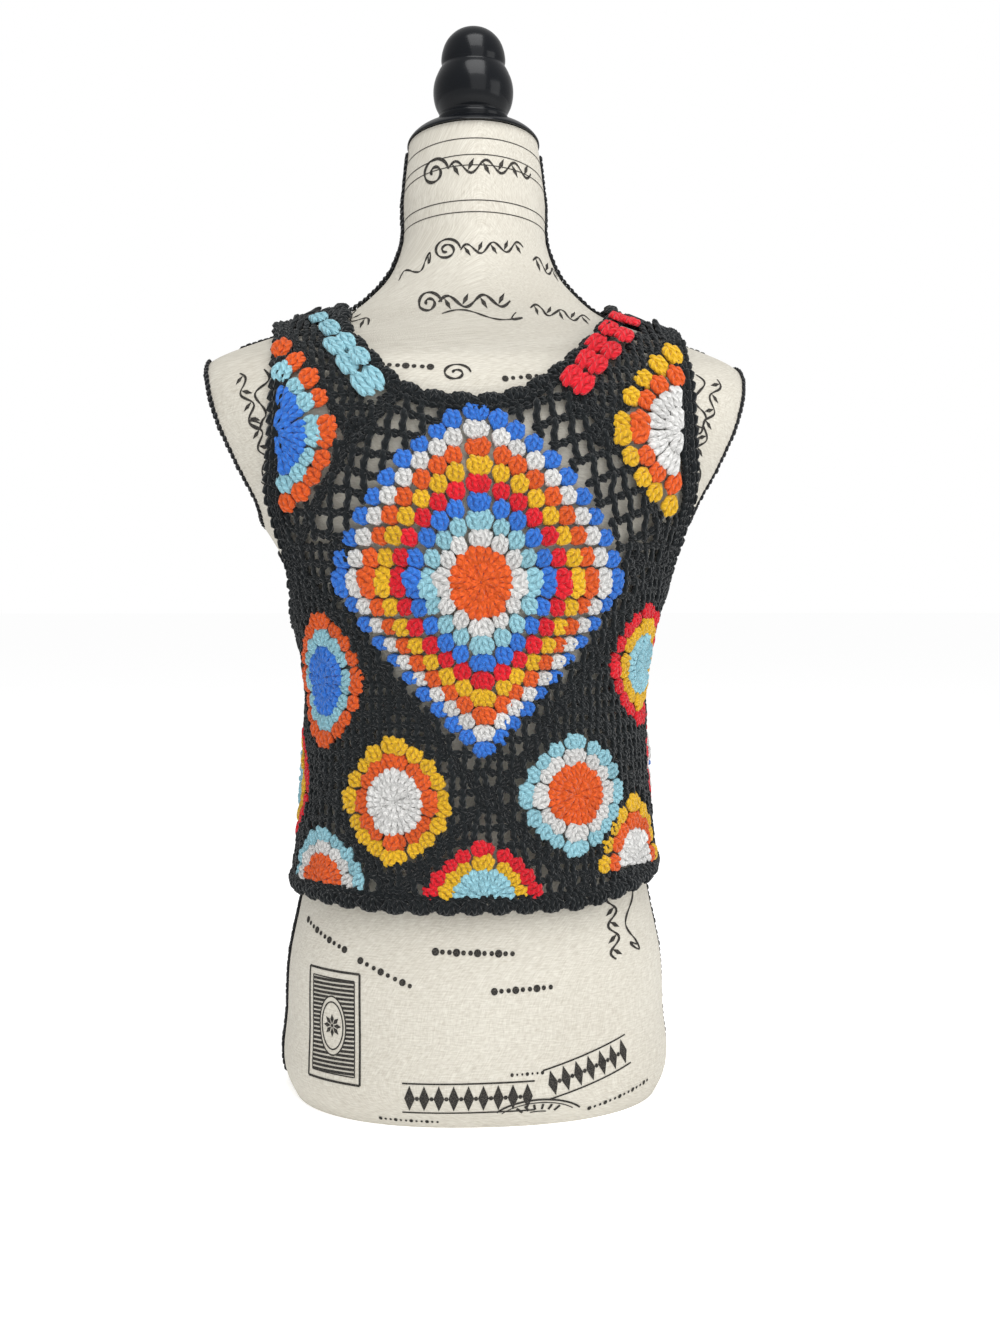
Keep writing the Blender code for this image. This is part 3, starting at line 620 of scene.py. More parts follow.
def coloured_rounds(stitches, motif, colours):
    """The dense middle, and the rounds of clusters, of which two share each corner."""
    stitches.lift = ARMHOLE_LIFT if motif.node.startswith("armhole") else 0.0
    total = len(motif.rounds) + 1
    outer_style = BIG_ROUND if motif.node.endswith("centre_square") else SMALL_ROUND
    for quadrant in quadrants_of(motif):
        lines = [round_line(motif, max(number, PETAL_FOOT) / total, round_power(motif, number, quadrant), quadrant)
                 for number in range(total + 1)]
        for number in range(1, total + 1):
            petals = number <= PETAL_ROUNDS
            stitches.layer = "middle" if petals else "rounds"
            quarter_round(stitches, PETALS if petals else outer_style, quadrant, lines[number - 1], lines[number],
                          2 * number if petals else number + 1,
                          colours[motif.rounds[max(number - PETAL_ROUNDS, 0)]])
    stitches.layer, stitches.lift = "crochet", 0.0


def seam(stitches, places, colour):
    """A chain just inside a patch's edge, and that edge. The places run anticlockwise round the patch."""
    outline = on_cloth(places + places[:1])
    line = evenly(outline, max(8, int(lengths_along(outline)[-1] / SEAM_STEP)))
    _, normals = CLOTH_SURFACE.snap(line)
    inward = unit(np.cross(normals, tangents(line)))
    stitches.layer = "joins"
    stitches.chain(line + inward * SEAM_INSET, colour, SEAM_WIDTH)
    return outline


def inside(places, ring):
    """Which of some flat places lie in a closed ring."""
    x, y = places[:, 0, None], places[:, 1, None]
    after = np.roll(ring, -1, axis=0)
    crosses = (ring[:, 1] > y) != (after[:, 1] > y)
    rise = np.where(after[:, 1] == ring[:, 1], 1.0, after[:, 1] - ring[:, 1])
    meets = ring[:, 0] + (y - ring[:, 1]) / rise * (after[:, 0] - ring[:, 0])
    return np.sum(crosses & (x < meets), axis=1) % 2 == 1


def flat_places(places, front):
    """Places on the body as (s, height) on a panel."""
    flat = []
    for turn, height in places:
        lengths = CLOTH.row(height)
        long = np.interp(math.pi - abs(math.pi - abs(turn)), CLOTH.turns, lengths)
        if abs(turn) > math.pi:
            long = 2 * lengths[-1] - long
        flat.append((math.copysign(lengths[-1] - long if front else long, -turn if front else turn), height))
        if front and long > lengths[-1]:
            flat[-1] = (math.copysign(long - lengths[-1], turn), height)
    return np.array(flat)


def net(stitches, ring, front, bare, mesh, colour, slope=0.0):
    """Open mesh of upright posts and sagging chains in a flat ring, but not where bare says."""
    low, high = ring.min(axis=0), ring.max(axis=0)
    tilt = slope * (high[0] - low[0])
    rows = np.arange(math.floor((low[1] - abs(tilt)) / mesh.tall) * mesh.tall, high[1] + abs(tilt) + mesh.tall,
                     mesh.tall)
    columns = np.arange(math.floor(low[0] / mesh.wide) * mesh.wide, high[0] + mesh.wide, mesh.wide)

    def lean(flat):
        """From the mesh's own upright places to where they hang."""
        along, up = flat[:, 0], flat[:, 1]
        return np.stack([along - slope * 0.5 * (up - rows[0]), up + slope * (along - low[0])], axis=1)

    for number, row in enumerate(rows):
        across = np.arange(low[0] - 0.01, high[0] + 0.03, NET_STEP)
        sag = -NET_SAG * mesh.tall * np.abs(np.sin(across * math.pi / mesh.wide))
        sag += NET_SWAY * np.sin(across * 90 + number)
        flat = lean(np.stack([across, row + sag], axis=1))
        for run in runs_of(inside(flat, ring) & ~bare(flat), 8):
            stitches.layer = mesh.rows
            stitches.chain(CLOTH.points(flat[run][::4], front), colour, mesh.strand * 0.95)
        for column in columns:
            drift = stitches.random.normal(0.0, NET_DRIFT * mesh.wide, 2)
            up = np.arange(row - mesh.tall, row + NET_STEP, NET_STEP)
            share = (up - up[0]) / mesh.tall
            flat = lean(np.stack([column + drift[0] + (drift[1] - drift[0]) * share, up], axis=1))
            for run in runs_of(inside(flat, ring) & ~bare(flat), 6):
                ends = CLOTH.points(flat[run][[0, -1]], front)
                reach = ends[1] - ends[0]
                size = (mesh.strand, (np.linalg.norm(reach) + 0.0018) / POST_TALL, mesh.strand)
                stitches.layer = "crochet"
                stitches.add("post", (ends[0] - unit(reach) * 0.0009)[None], reach[None], size, colour)


def at_shares(points, shares):
    """Points of an evenly spaced line at shares of its length."""
    steps = np.linspace(0.0, 1.0, len(points))
    return np.stack([np.interp(shares, steps, points[:, axis]) for axis in range(3)], axis=1)


def runs_of(flags, least):
    """Stretches of neighbouring true flags, as slices."""
    edges = np.flatnonzero(np.diff(np.concatenate([[0], flags.astype(int), [0]])))
    return [slice(start, end) for start, end in zip(edges[::2], edges[1::2]) if end - start >= least]


def button(stitches, flat, front, colour):
    """A dense round join."""
    centre = CLOTH.points([flat], front)
    _, normals = CLOTH_SURFACE.snap(centre)
    side = unit(np.cross(normals, np.array([[0.0, 0.0, 1.0]])))
    up = np.cross(side, normals)
    swings = np.linspace(0.0, 2 * math.pi, 7, endpoint=False)[:, None]
    outward = np.cos(swings) * side + np.sin(swings) * up
    stitches.add("pair", centre + outward * 0.0004, outward, (0.95, JOIN_RADIUS / PAIR_TALL, 1.15), colour)


# ------------------------------------------------------------------ outlines of the patches
LOW_EDGES = {               # corners, as (column, row), of a big square's two lower edges
    False: {3: ((0, 2), (0.5, 1), (1, 0)), 2: ((-1, 0), (-0.5, 1), (0, 2))},
    True: {3: ((-3, 2), (-2.5, 1), (-2, 0)), 2: ((2, 0), (2.5, 1), (3, 2))},
}


def big_outline(front):
    """A big square's edge, anticlockwise from its right corner."""
    right, left = (-1, 1) if front else (1, -1)
    rise = {}
    for side in (right, left):
        rise[side] = flank(side, front)[:-1] + square_shoulder(side, front)[:-1]
        rise[side] += neck_seam(side, front)[2 * SQUARE_NECK_ROW::-1]
    ring = rise[right] + rise[left][-2::-1]
    for corners in (LOW_EDGES[front][2], LOW_EDGES[front][3]):
        first, middle, last = (corner(*place) for place in corners)
        ring += straight(first, middle)[1:] + straight(middle, last)[1:]
    return ring


def armhole_outline(motif):
    side = 1 if (motif.s > 0) != motif.front else -1
    inner = flank(side, motif.front)[:-1] + motif_shoulder(side, motif.front)
    edge = armhole_under(side, motif.front)[-1:] + armhole_over(side, motif.front)[1:]
    return inner + edge[::-1][1:] if motif.s < 0 else edge + inner[::-1][1:]


def diamond_outline(motif):
    column = motif.column
    if motif.front:
        column = 3 + column if column < 0 else column - 3
    ring = [corner_near(column + 0.5, motif.row), corner_near(column, motif.row - 1),
            corner_near(column - 0.5, motif.row)]
    if motif.row != HEM_ROW:
        ring.append(corner_near(column, motif.row + 1))
    ring.append(ring[0])
    return [place for ends in zip(ring, ring[1:]) for place in straight(*ends)[:-1]]


def corner_near(column, row):
    """A corner that may lie just past the front centre."""
    if abs(column) <= 3:
        return corner(column, row)
    turn, height = corner(column - math.copysign(6, column), row)
    return turn + math.copysign(2 * math.pi, column), height


def outline_of(motif):
    if motif.node.endswith("centre_square"):
        return big_outline(motif.front)
    return armhole_outline(motif) if motif.node.startswith("armhole") else diamond_outline(motif)


def coloured(motif, flat):
    """Which flat places lie under the motif's colours."""
    right, rise = flat[:, 0] - motif.s, flat[:, 1] - motif.height
    power = np.where(rise > 0, motif.power_up, motif.power_down)
    reach = np.where(rise > 0, motif.up, motif.down or 1e-4)
    limit = 1.0 if motif.node.endswith("centre_square") or motif.node.startswith("armhole") else 0.95
    return (np.abs(right) / motif.across) ** power + (np.abs(rise) / reach) ** power < limit


def nets_of(motif):
    """The meshes round a motif's colours: how open, how far its rows slope, and where."""
    if "centre_square" in motif.node:
        return ((OPEN_NET, NECK_SLOPES[0], lambda flat: (flat[:, 1] >= OPEN_FROM) & (flat[:, 0] > 0)),
                (OPEN_NET, NECK_SLOPES[1], lambda flat: (flat[:, 1] >= OPEN_FROM) & (flat[:, 0] <= 0)),
                (MIDDLE_NET, 0.0, lambda flat: flat[:, 1] < OPEN_FROM))
    if motif.node.startswith("armhole"):
        return ((MIDDLE_NET, 0.0, lambda flat: flat[:, 1] < ARMHOLE_OPEN_FROM),
                (OPEN_NET, 0.0, lambda flat: flat[:, 1] >= ARMHOLE_OPEN_FROM))
    if motif.node.startswith("lower"):
        return ((MIDDLE_NET, 0.0, lambda flat: np.abs(flat[:, 0]) < MIDDLE_HALF),
                (CLOSE_NET, 0.0, lambda flat: np.abs(flat[:, 0]) >= MIDDLE_HALF))
    return ((MIDDLE_NET if motif.node.startswith("hem") else CLOSE_NET, 0.0, lambda flat: flat[:, 1] > 0),)


JOINS = {                   # dense round joins in the mesh, as (s, height)
    "back_centre_square": ((-0.0865, 0.4610), (0.0620, 0.4800), (0.0765, 0.4600), (0.1065, 0.3760),
                           (-0.1010, 0.3830)),
    "front_centre_square": ((-0.0890, 0.4560), (0.0890, 0.4560)),
}


def motif_stitches(motif, colours, seed):
    stitches = Stitches(seed)
    coloured_rounds(stitches, motif, colours)
    places = outline_of(motif)
    ring = flat_places(places, motif.front)
    for mesh, slope, where in nets_of(motif):
        net(stitches, ring, motif.front, lambda flat, where=where: coloured(motif, flat) | ~where(flat), mesh,
            colours["black"], slope)
    outline = seam(stitches, places, colours["black"])
    for join in JOINS.get(motif.node, ()):
        button(stitches, join, motif.front, colours["black"])
    return stitches, outline


Stripe = namedtuple("Stripe", "colour top low widths")
STRIPES = {                 # the coloured rows of a strap: where their middle starts and ends, clusters in each row
    "back_left": Stripe("light_blue", (0.1110, 0.5390), (0.0725, 0.4840), (1, 1, 2, 2, 2)),
    "back_right": Stripe("red", (0.1010, 0.5395), (0.0540, 0.4860), (2, 2, 2, 2, 2)),
    "front_left": Stripe("orange", (0.1020, 0.5400), (0.0690, 0.4900), (1, 1, 2, 2, 2)),
    "front_right": Stripe("white", (0.1020, 0.5400), (0.0690, 0.4900), (1, 1, 2, 2, 2)),
}
STRIPE_PITCH = 0.0104
STRIPE_OVERLAP = 0.0056     # how much longer its clusters are than its rows
STRIPE_FOOT = 0.003         # how far they start before their row
STRIPE_LIFT = 0.0018        # how far they lie above the cloth's middle
STRIPE_STEPS = 12
STRIPE_BARE = 0.9           # the share of a stripe's width that has no mesh under it


def strap_stitches(side, front, name, colours, seed):
    """A shoulder piece: rows of clusters down the strap, in black mesh."""
    stitches = Stitches(seed)
    stripe = STRIPES[name]
    middle = sloped(side, front, stripe.top, stripe.low, STRIPE_STEPS)
    rows = evenly(on_cloth(middle), len(stripe.widths) + 1)
    along = unit(np.diff(rows, axis=0))
    _, normals = CLOTH_SURFACE.snap(rows[:-1])
    across = unit(np.cross(normals, along))
    long = np.linalg.norm(rows[1] - rows[0]) + STRIPE_OVERLAP
    stitches.layer, stitches.lift = "rounds", STRIPE_LIFT
    for row, count in enumerate(stripe.widths):
        for place in range(count):
            start = rows[row] + across[row] * (place - (count - 1) / 2) * STRIPE_PITCH - along[row] * STRIPE_FOOT
            size = (1.04, long / CLUSTER_TALL, 1.2)
            stitches.add("cluster", start[None], along[row][None], size, colours[stripe.colour])
    stitches.lift = 0.0
    outer = motif_shoulder(side, front)[:-1] + armhole_strap(side, front)
    neck = neck_seam(side, front)[2 * SQUARE_NECK_ROW:]
    places = outer + neck[::-1] + square_shoulder(side, front)[::-1][1:]
    if (side < 0) != front:
        places = places[::-1]
    ring = flat_places(places, front)
    spine = flat_places(middle, front)
    count = len(stripe.widths)
    half = np.interp(np.linspace(0, 1, STRIPE_STEPS + 1), np.linspace(0, 1, count), stripe.widths) * STRIPE_PITCH / 2

    def under_stripe(flat):
        gap = np.linalg.norm(flat[:, None] - spine[None], axis=2)
        return np.any((gap < half * STRIPE_BARE)[:, :-1], axis=1)

    stitches.layer = "crochet"
    net(stitches, ring, front, under_stripe, STRAP_NET, colours["black"])
    return stitches, seam(stitches, places, colours["black"])


def underarm_stitches(side, colours, seed):
    stitches = Stitches(seed)
    low = corner(1.5 * side, 1)
    lower = straight(corner(side, 0), low) + straight(low, corner(2 * side, 0))[1:]
    upper = [*armhole_under(side, False)[::-1], *armhole_under(side, True)[1:]]
    places = lower + upper[::-1]
    if side < 0:
        places = places[::-1]
    net(stitches, flat_places(places, False), False, lambda flat: np.zeros(len(flat), bool), UNDERARM_NET,
        colours["black"])
    return stitches, seam(stitches, places, colours["black"])


def edge_ring(places):
    """A closed edge as an evenly spaced line, with the directions away from the cloth."""
    points = on_cloth(places)
    points = evenly(np.concatenate([points, points[:1]]), 4 * len(points))
    _, normals = CLOTH_SURFACE.snap(points)
    ahead = np.roll(points[:-1], -1, axis=0) - np.roll(points[:-1], 1, axis=0)
    away = unit(np.cross(np.concatenate([ahead, ahead[:1]]), normals))
    return points, away


def neck_ring():
    places = []
    for side, front in ((-1, True), (1, True), (1, False), (-1, False)):
        quarter = neck_seam(side, front)
        places += (quarter if (side > 0) == front else quarter[::-1])[:-1]
    return places


def hem_ring():
    return [place for column in (-3, -2, -1, 0, 1, 2) for place in hem_seam(column)[:-1]]


def armhole_ring(side):
    back, front = (armhole_under(side, where)[:-1] + armhole_over(side, where) + armhole_strap(side, where)[1:]
                   for where in (False, True))
    ring = back[:-1] + front[:0:-1]
    return ring[::-1] if side < 0 else ring


Edging = namedtuple("Edging", "node pitch reach scalloped")
EDGINGS = (
    Edging("neck_edging", 0.0185, 0.0100, True),
    Edging("hem_edging", 0.0170, 0.0105, True),
    Edging("armhole_edging_left", 0.0048, 0.0062, False),
    Edging("armhole_edging_right", 0.0048, 0.0062, False),
)


def edging_stitches(edging, places, colours, seed):
    stitches = Stitches(seed)
    points, away = edge_ring(places)
    long = lengths_along(points)[-1]
    count = int(long / edging.pitch)
    shares = (np.arange(count) + 0.5) / count
    base, outward = at_shares(points, shares), at_shares(away, shares)
    stitches.layer = "joins"
    stitches.chain(points - away * 0.0005, colours["black"], 1.3)
    stitches.layer = "crochet"
    if edging.scalloped:
        size = (long / count / SHELL_WIDE * 1.03, edging.reach / SHELL_TALL, 1.3)
        stitches.add("shell", base - outward * 0.0006, outward, size, colours["black"])
    else:
        stitches.add("post", base, outward, (1.05, edging.reach / POST_TALL, 1.05), colours["black"])
        stitches.layer = "joins"
        stitches.chain(points + away * edging.reach, colours["black"], 1.6, 1.5)
    return stitches, points


# ------------------------------------------------------------------ the shapes of the stitches
def skin(rings, along):
    """A closed body through rings of points, with a place round and along it for each face corner."""
    count = len(rings[0])
    middle = rings[len(rings) // 2]
    around = lengths_along(np.concatenate([middle, middle[:1]])) * 100
    faces, places = [tuple(range(count))], [(around[step], along[0]) for step in range(count)]
    for level in range(len(rings) - 1):
        for step in range(count):
            low, after = level * count + step, level * count + (step + 1) % count
            faces.append((low, low + count, after + count, after))
            near, far = along[level], along[level + 1]
            places += [(around[step], near), (around[step], far), (around[step + 1], far), (around[step + 1], near)]
    faces.append(tuple(range((len(rings) - 1) * count, len(rings) * count))[::-1])
    places += [(around[step], along[-1]) for step in range(count)][::-1]
    return np.concatenate(rings), faces, places


STRAND_SIDES = 6


def strand(path, widths):
    """One closed yarn strand, round in front and flatter behind."""
    path = np.array(path)
    ahead = tangents(path)
    side = unit(np.cross(ahead, np.array([0.0, 0.0, 1.0])))
    front = np.cross(side, ahead)
    swings = np.linspace(0.0, 2 * math.pi, STRAND_SIDES, endpoint=False)[:, None]
    rings = []
    for place, across, out, width in zip(path, side, front, widths):
        depth = np.where(np.sin(swings) > 0, 0.95, 0.45) * np.sin(swings)
        rings.append(place + (across * np.cos(swings) + out * depth) * width)
    return skin(rings, lengths_along(path) * 100)


# Each level of a cluster: how far up it is, how far apart its strands are, and how thick each is, as shares.
CLUSTER_LEVELS = ((0.0, 0.28, 0.50), (0.10, 0.42, 0.84), (0.26, 0.66, 1.02), (0.42, 0.88, 0.97), (0.54, 0.98, 0.90),
                  (0.68, 1.04, 1.06), (0.84, 0.98, 1.12), (0.95, 0.88, 0.84), (1.0, 0.84, 0.40))
SHELL_LEVELS = ((0.0, 0.62, 0.60), (0.15, 0.76, 0.95), (0.40, 0.95, 1.05), (0.65, 1.08, 0.98), (0.85, 1.14, 1.06),
                (1.0, 1.10, 0.45))
PAIR_LEVELS = ((0.0, 0.30, 0.50), (0.14, 0.60, 0.95), (0.36, 0.80, 1.00), (0.52, 1.00, 0.78), (0.74, 1.26, 1.14),
               (0.92, 1.34, 0.92), (1.0, 1.28, 0.40))
LINK_LEVELS = ((0.0, 0.25, 0.50), (0.30, 0.98, 0.98), (0.74, 1.02, 1.02), (1.0, 0.30, 0.50))


def grown_together(lobes, spacing, radius, tall, levels, crown=0.0, sink=0.0, swings=(12, 62, 118, 168)):
    """Strands side by side, grown into one fan that is flat behind. The crown makes its middle taller."""
    rings, middle = [], (lobes - 1) / 2
    for rise, apart, thick in levels:
        ring = []
        for lobe in range(lobes)[::-1]:
            place = lobe - middle
            wave = 0.16 * math.sin(rise * 9.0 + lobe * 2.1)
            x = (place * apart + wave) * spacing
            y = rise * (tall - crown * (place / max(middle, 0.5)) ** 2)
            bow = 0.0014 * math.sin(math.pi * min(rise * 1.1, 1.0)) * (1.0 - 0.35 * abs(place) / max(middle, 0.5))
            bow += sink * (1.0 - rise) ** 2
            for swing in swings:
                angle = math.radians(swing)
                ring.append((x + math.cos(angle) * radius * thick, y, bow + math.sin(angle) * radius * thick * 1.05))
        edge = (middle * apart) * spacing + radius * thick * 0.8
        behind = -0.30 * radius * thick + sink * (1.0 - rise) ** 2
        ring += [(-edge, rise * (tall - crown), behind), (edge, rise * (tall - crown), behind)]
        rings.append(np.array(ring))
    return skin(rings, [rise * tall * 100 for rise, _, _ in levels])


def post_strand(tall, width):
    """One treble: a thick strand with a waist, and a fuller loop at its top."""
    shares = (0.0, 0.16, 0.40, 0.62, 0.86, 1.0)
    swell = np.array([0.55, 0.96, 1.04, 0.90, 1.10, 0.60])
    wave = (0.0, 0.28, -0.20, 0.15, -0.25, 0.0)
    path = [(drift * width, share * tall, 0.0008 * math.sin(math.pi * share)) for share, drift in zip(shares, wave)]
    return strand(path, swell * width)


def stitch_shapes(yarn):
    """Each kind of stitch: it grows along +Y from the origin, and +Z faces out."""
    radius = yarn.strand_width / 2
    return {
        "cluster": grown_together(3, CLUSTER_WIDE / 2 - radius, radius, CLUSTER_TALL, CLUSTER_LEVELS, 0.0019,
                                  -0.0015),
        "pair": grown_together(2, PAIR_WIDE - 2 * radius, radius, PAIR_TALL, PAIR_LEVELS, 0.0, -0.0012),
        "post": post_strand(POST_TALL, radius),
        "shell": grown_together(5, (SHELL_WIDE - 2 * radius) / 4, radius, SHELL_TALL, SHELL_LEVELS, 0.0020),
        "link": grown_together(2, 0.0024, radius * 0.74, LINK_LONG + 0.0007, LINK_LEVELS, 0.0, 0.0, (20, 90, 160)),
    }


def add_object(name, mesh):
    made = bpy.data.objects.new(name, mesh)
    bpy.context.scene.collection.objects.link(made)
    return made


def mesh_of(name, points, faces, places=None, sharp=None):
    """A mesh with smooth faces. The places are a texture coordinate for each corner of each face."""
    mesh = bpy.data.meshes.new(name)
    mesh.from_pydata([tuple(point) for point in points], [], faces)
    if places is not None:
        layer = mesh.uv_layers.new(name="UVMap")
        layer.uv.foreach_set("vector", np.asarray(places, np.float32).ravel())
    mesh.shade_smooth()
    if sharp:
        mesh.set_sharp_from_angle(angle=math.radians(sharp))
    return mesh


def joined(parts):
    points, faces, places = [], [], []
    for part in parts:
        start = len(points)
        points += list(part[0])
        places += list(part[2])
        faces += [tuple(index + start for index in face) for face in part[1]]
    return points, faces, places


def add_shapes(yarn):
    """The collection of stitch shapes, in the order of their kinds."""
    shelf = bpy.data.collections.new("stitch_shapes")
    shapes = stitch_shapes(yarn)
    for index, kind in enumerate(KINDS):
        shelf.objects.link(bpy.data.objects.new(f"{index}_{kind}", mesh_of(kind, *shapes[kind])))
    return shelf


# ------------------------------------------------------------------ geometry nodes
class Tree:
    """Builds a node tree: each node from its type, its settings and its sockets' values or links."""

    def __init__(self, tree):
        self.tree = tree

    def node(self, kind, settings=None, **inputs):
        node = self.tree.nodes.new(kind)
        for name, value in (settings or {}).items():
            setattr(node, name, value)
        for name, value in inputs.items():
            self.plug(node.inputs[name.replace("_", " ")], value)
        return node

    def plug(self, socket, value):
        if isinstance(value, Value):
            value = value.socket
        if isinstance(value, bpy.types.NodeSocket):
            self.tree.links.new(value, socket)
        else:
            socket.default_value = value


class Value:
    """A number socket that Python's operators work on."""

    def __init__(self, tree, socket):
        self.tree, self.socket = tree, socket

    def math(self, operation, *others):
        node = self.tree.tree.nodes.new("ShaderNodeMath")
        node.operation = operation
        for socket, value in zip(node.inputs, (self, *others)):
            self.tree.plug(socket, value)
        return Value(self.tree, node.outputs[0])

    def __add__(self, other):
        return self.math("ADD", other)

    def __mul__(self, other):
        return self.math("MULTIPLY", other)

    def __sub__(self, other):
        return self.math("SUBTRACT", other)

    __radd__ = __add__

    def sine(self):
        return self.math("SINE")

    def clamped(self):
        return self.math("MAXIMUM", 0.0).math("MINIMUM", 1.0)


class Finish(Tree):
    """A material's node tree, with its shader and the coordinates that its pattern reads."""

    def __init__(self, name, coordinates, **sockets):
        self.material = bpy.data.materials.new(name)
        self.material.use_nodes = True
        super().__init__(self.material.node_tree)
        self.tree.nodes.clear()
        self.shader = self.node("ShaderNodeBsdfPrincipled", None, **sockets)
        self.tree.links.new(self.shader.outputs[0], self.node("ShaderNodeOutputMaterial").inputs[0])
        self.place = self.node("ShaderNodeTexCoord").outputs[coordinates]
        parts = self.node("ShaderNodeSeparateXYZ", None, Vector=self.place)
        self.x, self.y, self.z = (Value(self, output) for output in parts.outputs)

    def noise(self, scale, detail=2.0, stretch=None):
        place = self.place
        if stretch:
            scaled = self.node("ShaderNodeVectorMath", {"operation": "MULTIPLY"})
            self.plug(scaled.inputs[0], place)
            scaled.inputs[1].default_value = stretch
            place = scaled.outputs[0]
        made = self.node("ShaderNodeTexNoise", None, Vector=place, Scale=scale, Detail=detail)
        return Value(self, made.outputs["Fac"])

    def blend(self, factor, first, second, way="MIX"):
        made = self.node("ShaderNodeMix", {"data_type": "RGBA", "blend_type": way, "clamp_result": True})
        for socket, value in zip((made.inputs[0], made.inputs[6], made.inputs[7]), (factor, first, second)):
            self.plug(socket, value)
        return made.outputs[2]

    def colour(self, socket):
        self.plug(self.shader.inputs["Base Color"], socket)

    def rough(self, value):
        self.plug(self.shader.inputs["Roughness"], value)

    def relief(self, height, distance, strength=1.0):
        bump = self.node("ShaderNodeBump", None, Height=height, Distance=distance, Strength=strength)
        self.plug(self.shader.inputs["Normal"], bump.outputs[0])


def opaque(colour, share=1.0):
    return (*(share * value for value in colour), 1.0)


def yarn_finish(name):
    """Soft spun yarn: plies that wind round each strand, with fuzz between them, and painted shade in the grooves
    between the plies.
    """
    made = Finish(name, "UV", Sheen_Weight=0.16, Sheen_Roughness=0.45, Specular_IOR_Level=0.12)
    tint = made.node("ShaderNodeAttribute", {"attribute_name": "tint"}).outputs["Color"]
    arm = ((made.x * 1.9).math("FRACT") - 0.5).math("ABSOLUTE")
    ply = ((made.y * 2.7 - arm * 1.5) * (2 * math.pi)).sine() * 0.5 + 0.5
    fibre = made.noise(1.0, 3.0, (14.0, 11.0, 1.0))
    worn = made.noise(1.0, 1.0, (0.7, 2.1, 1.0))
    # The colour is darker in the grooves between the plies: painted shade. Fibre and worn add random tone.
    shade = (0.62 + ply * 0.24 + fibre * 0.34 + worn * 0.08).math("MINIMUM", 1.15)
    grey = made.node("ShaderNodeCombineColor", None, Red=shade, Green=shade, Blue=shade)
    made.colour(made.blend(1.0, tint, grey.outputs[0], "MULTIPLY"))
    made.rough(0.78 + fibre * 0.16)
    made.relief(ply * 0.75 + fibre * 0.65, 0.0011, 1.0)
    return made.material


def linen_finish(look):
    """Undyed plain weave: crossing threads of uneven thickness, with slubs along both."""
    made = Finish("linen_cover", "UV", Sheen_Weight=0.08, Sheen_Roughness=0.6, Specular_IOR_Level=0.18)
    pitch = look.thread_pitch
    warp = (made.x * (2 * math.pi / pitch) + made.noise(60.0) * 5.0).sine() * 0.5 + 0.5
    weft = (made.y * (2 * math.pi / pitch) + made.noise(55.0) * 5.0).sine() * 0.5 + 0.5
    across = made.noise(1.0, 3.0, (190.0, 1050.0, 1.0))
    upright = made.noise(1.0, 3.0, (1050.0, 170.0, 1.0))
    flecks = ((made.noise(420.0, 1.0) - 0.64) * 6.0).clamped()
    cloudy = made.noise(9.0, 3.0)
    slub = (across * 0.55 + upright * 0.45).math("SUBTRACT", 0.46) * 3.2
    amount = (slub + (cloudy - 0.5) * 0.7 + 0.42 - flecks * 0.45).clamped()
    made.colour(made.blend(amount, opaque(look.linen_dark), opaque(look.linen_light)))
    made.rough(0.86 + across * 0.1)
    made.relief(warp * 0.35 + weft * 0.35 + across * 0.7 + upright * 0.6, 0.0004, 0.7)
    return made.material


def ink_finish(look):
    """Ink that has sunk unevenly into the weave."""
    made = Finish("printed_ink", "Object", Specular_IOR_Level=0.1)
    worn = (made.noise(1900.0, 2.0) * 1.7 - 0.78).clamped()
    made.colour(made.blend(worn, opaque(look.ink), opaque(look.linen_dark, 0.5)))
    made.rough(0.9 + worn * 0.05)
    return made.material


def lacquer_finish(look):
    """Black gloss lacquer, with the faint rings of a turned piece."""
    made = Finish("black_lacquer", "Object", Coat_Weight=0.10, Coat_Roughness=0.06, Specular_IOR_Level=0.14)
    film = made.noise(26.0, 2.0)
    made.colour(made.blend(film, opaque(look.lacquer), opaque(look.lacquer, 1.5)))
    made.rough(0.17 + film * 0.10)
    made.relief(film + made.noise(1.0, 2.0, (40.0, 40.0, 600.0)) * 0.15, 0.0003, 0.35)
    return made.material


def floor_finish(stage):
    made = Finish("studio_floor", "Object", Specular_IOR_Level=0.0, Emission_Color=(1.0, 1.0, 1.0, 1.0),
                  Emission_Strength=0.50)
    grain = made.noise(3.0, 2.0)
    made.colour(made.blend(grain, opaque(stage.floor_colour), opaque(stage.floor_colour, 0.985)))
    made.rough(0.9 + grain * 0.05)
    return made.material


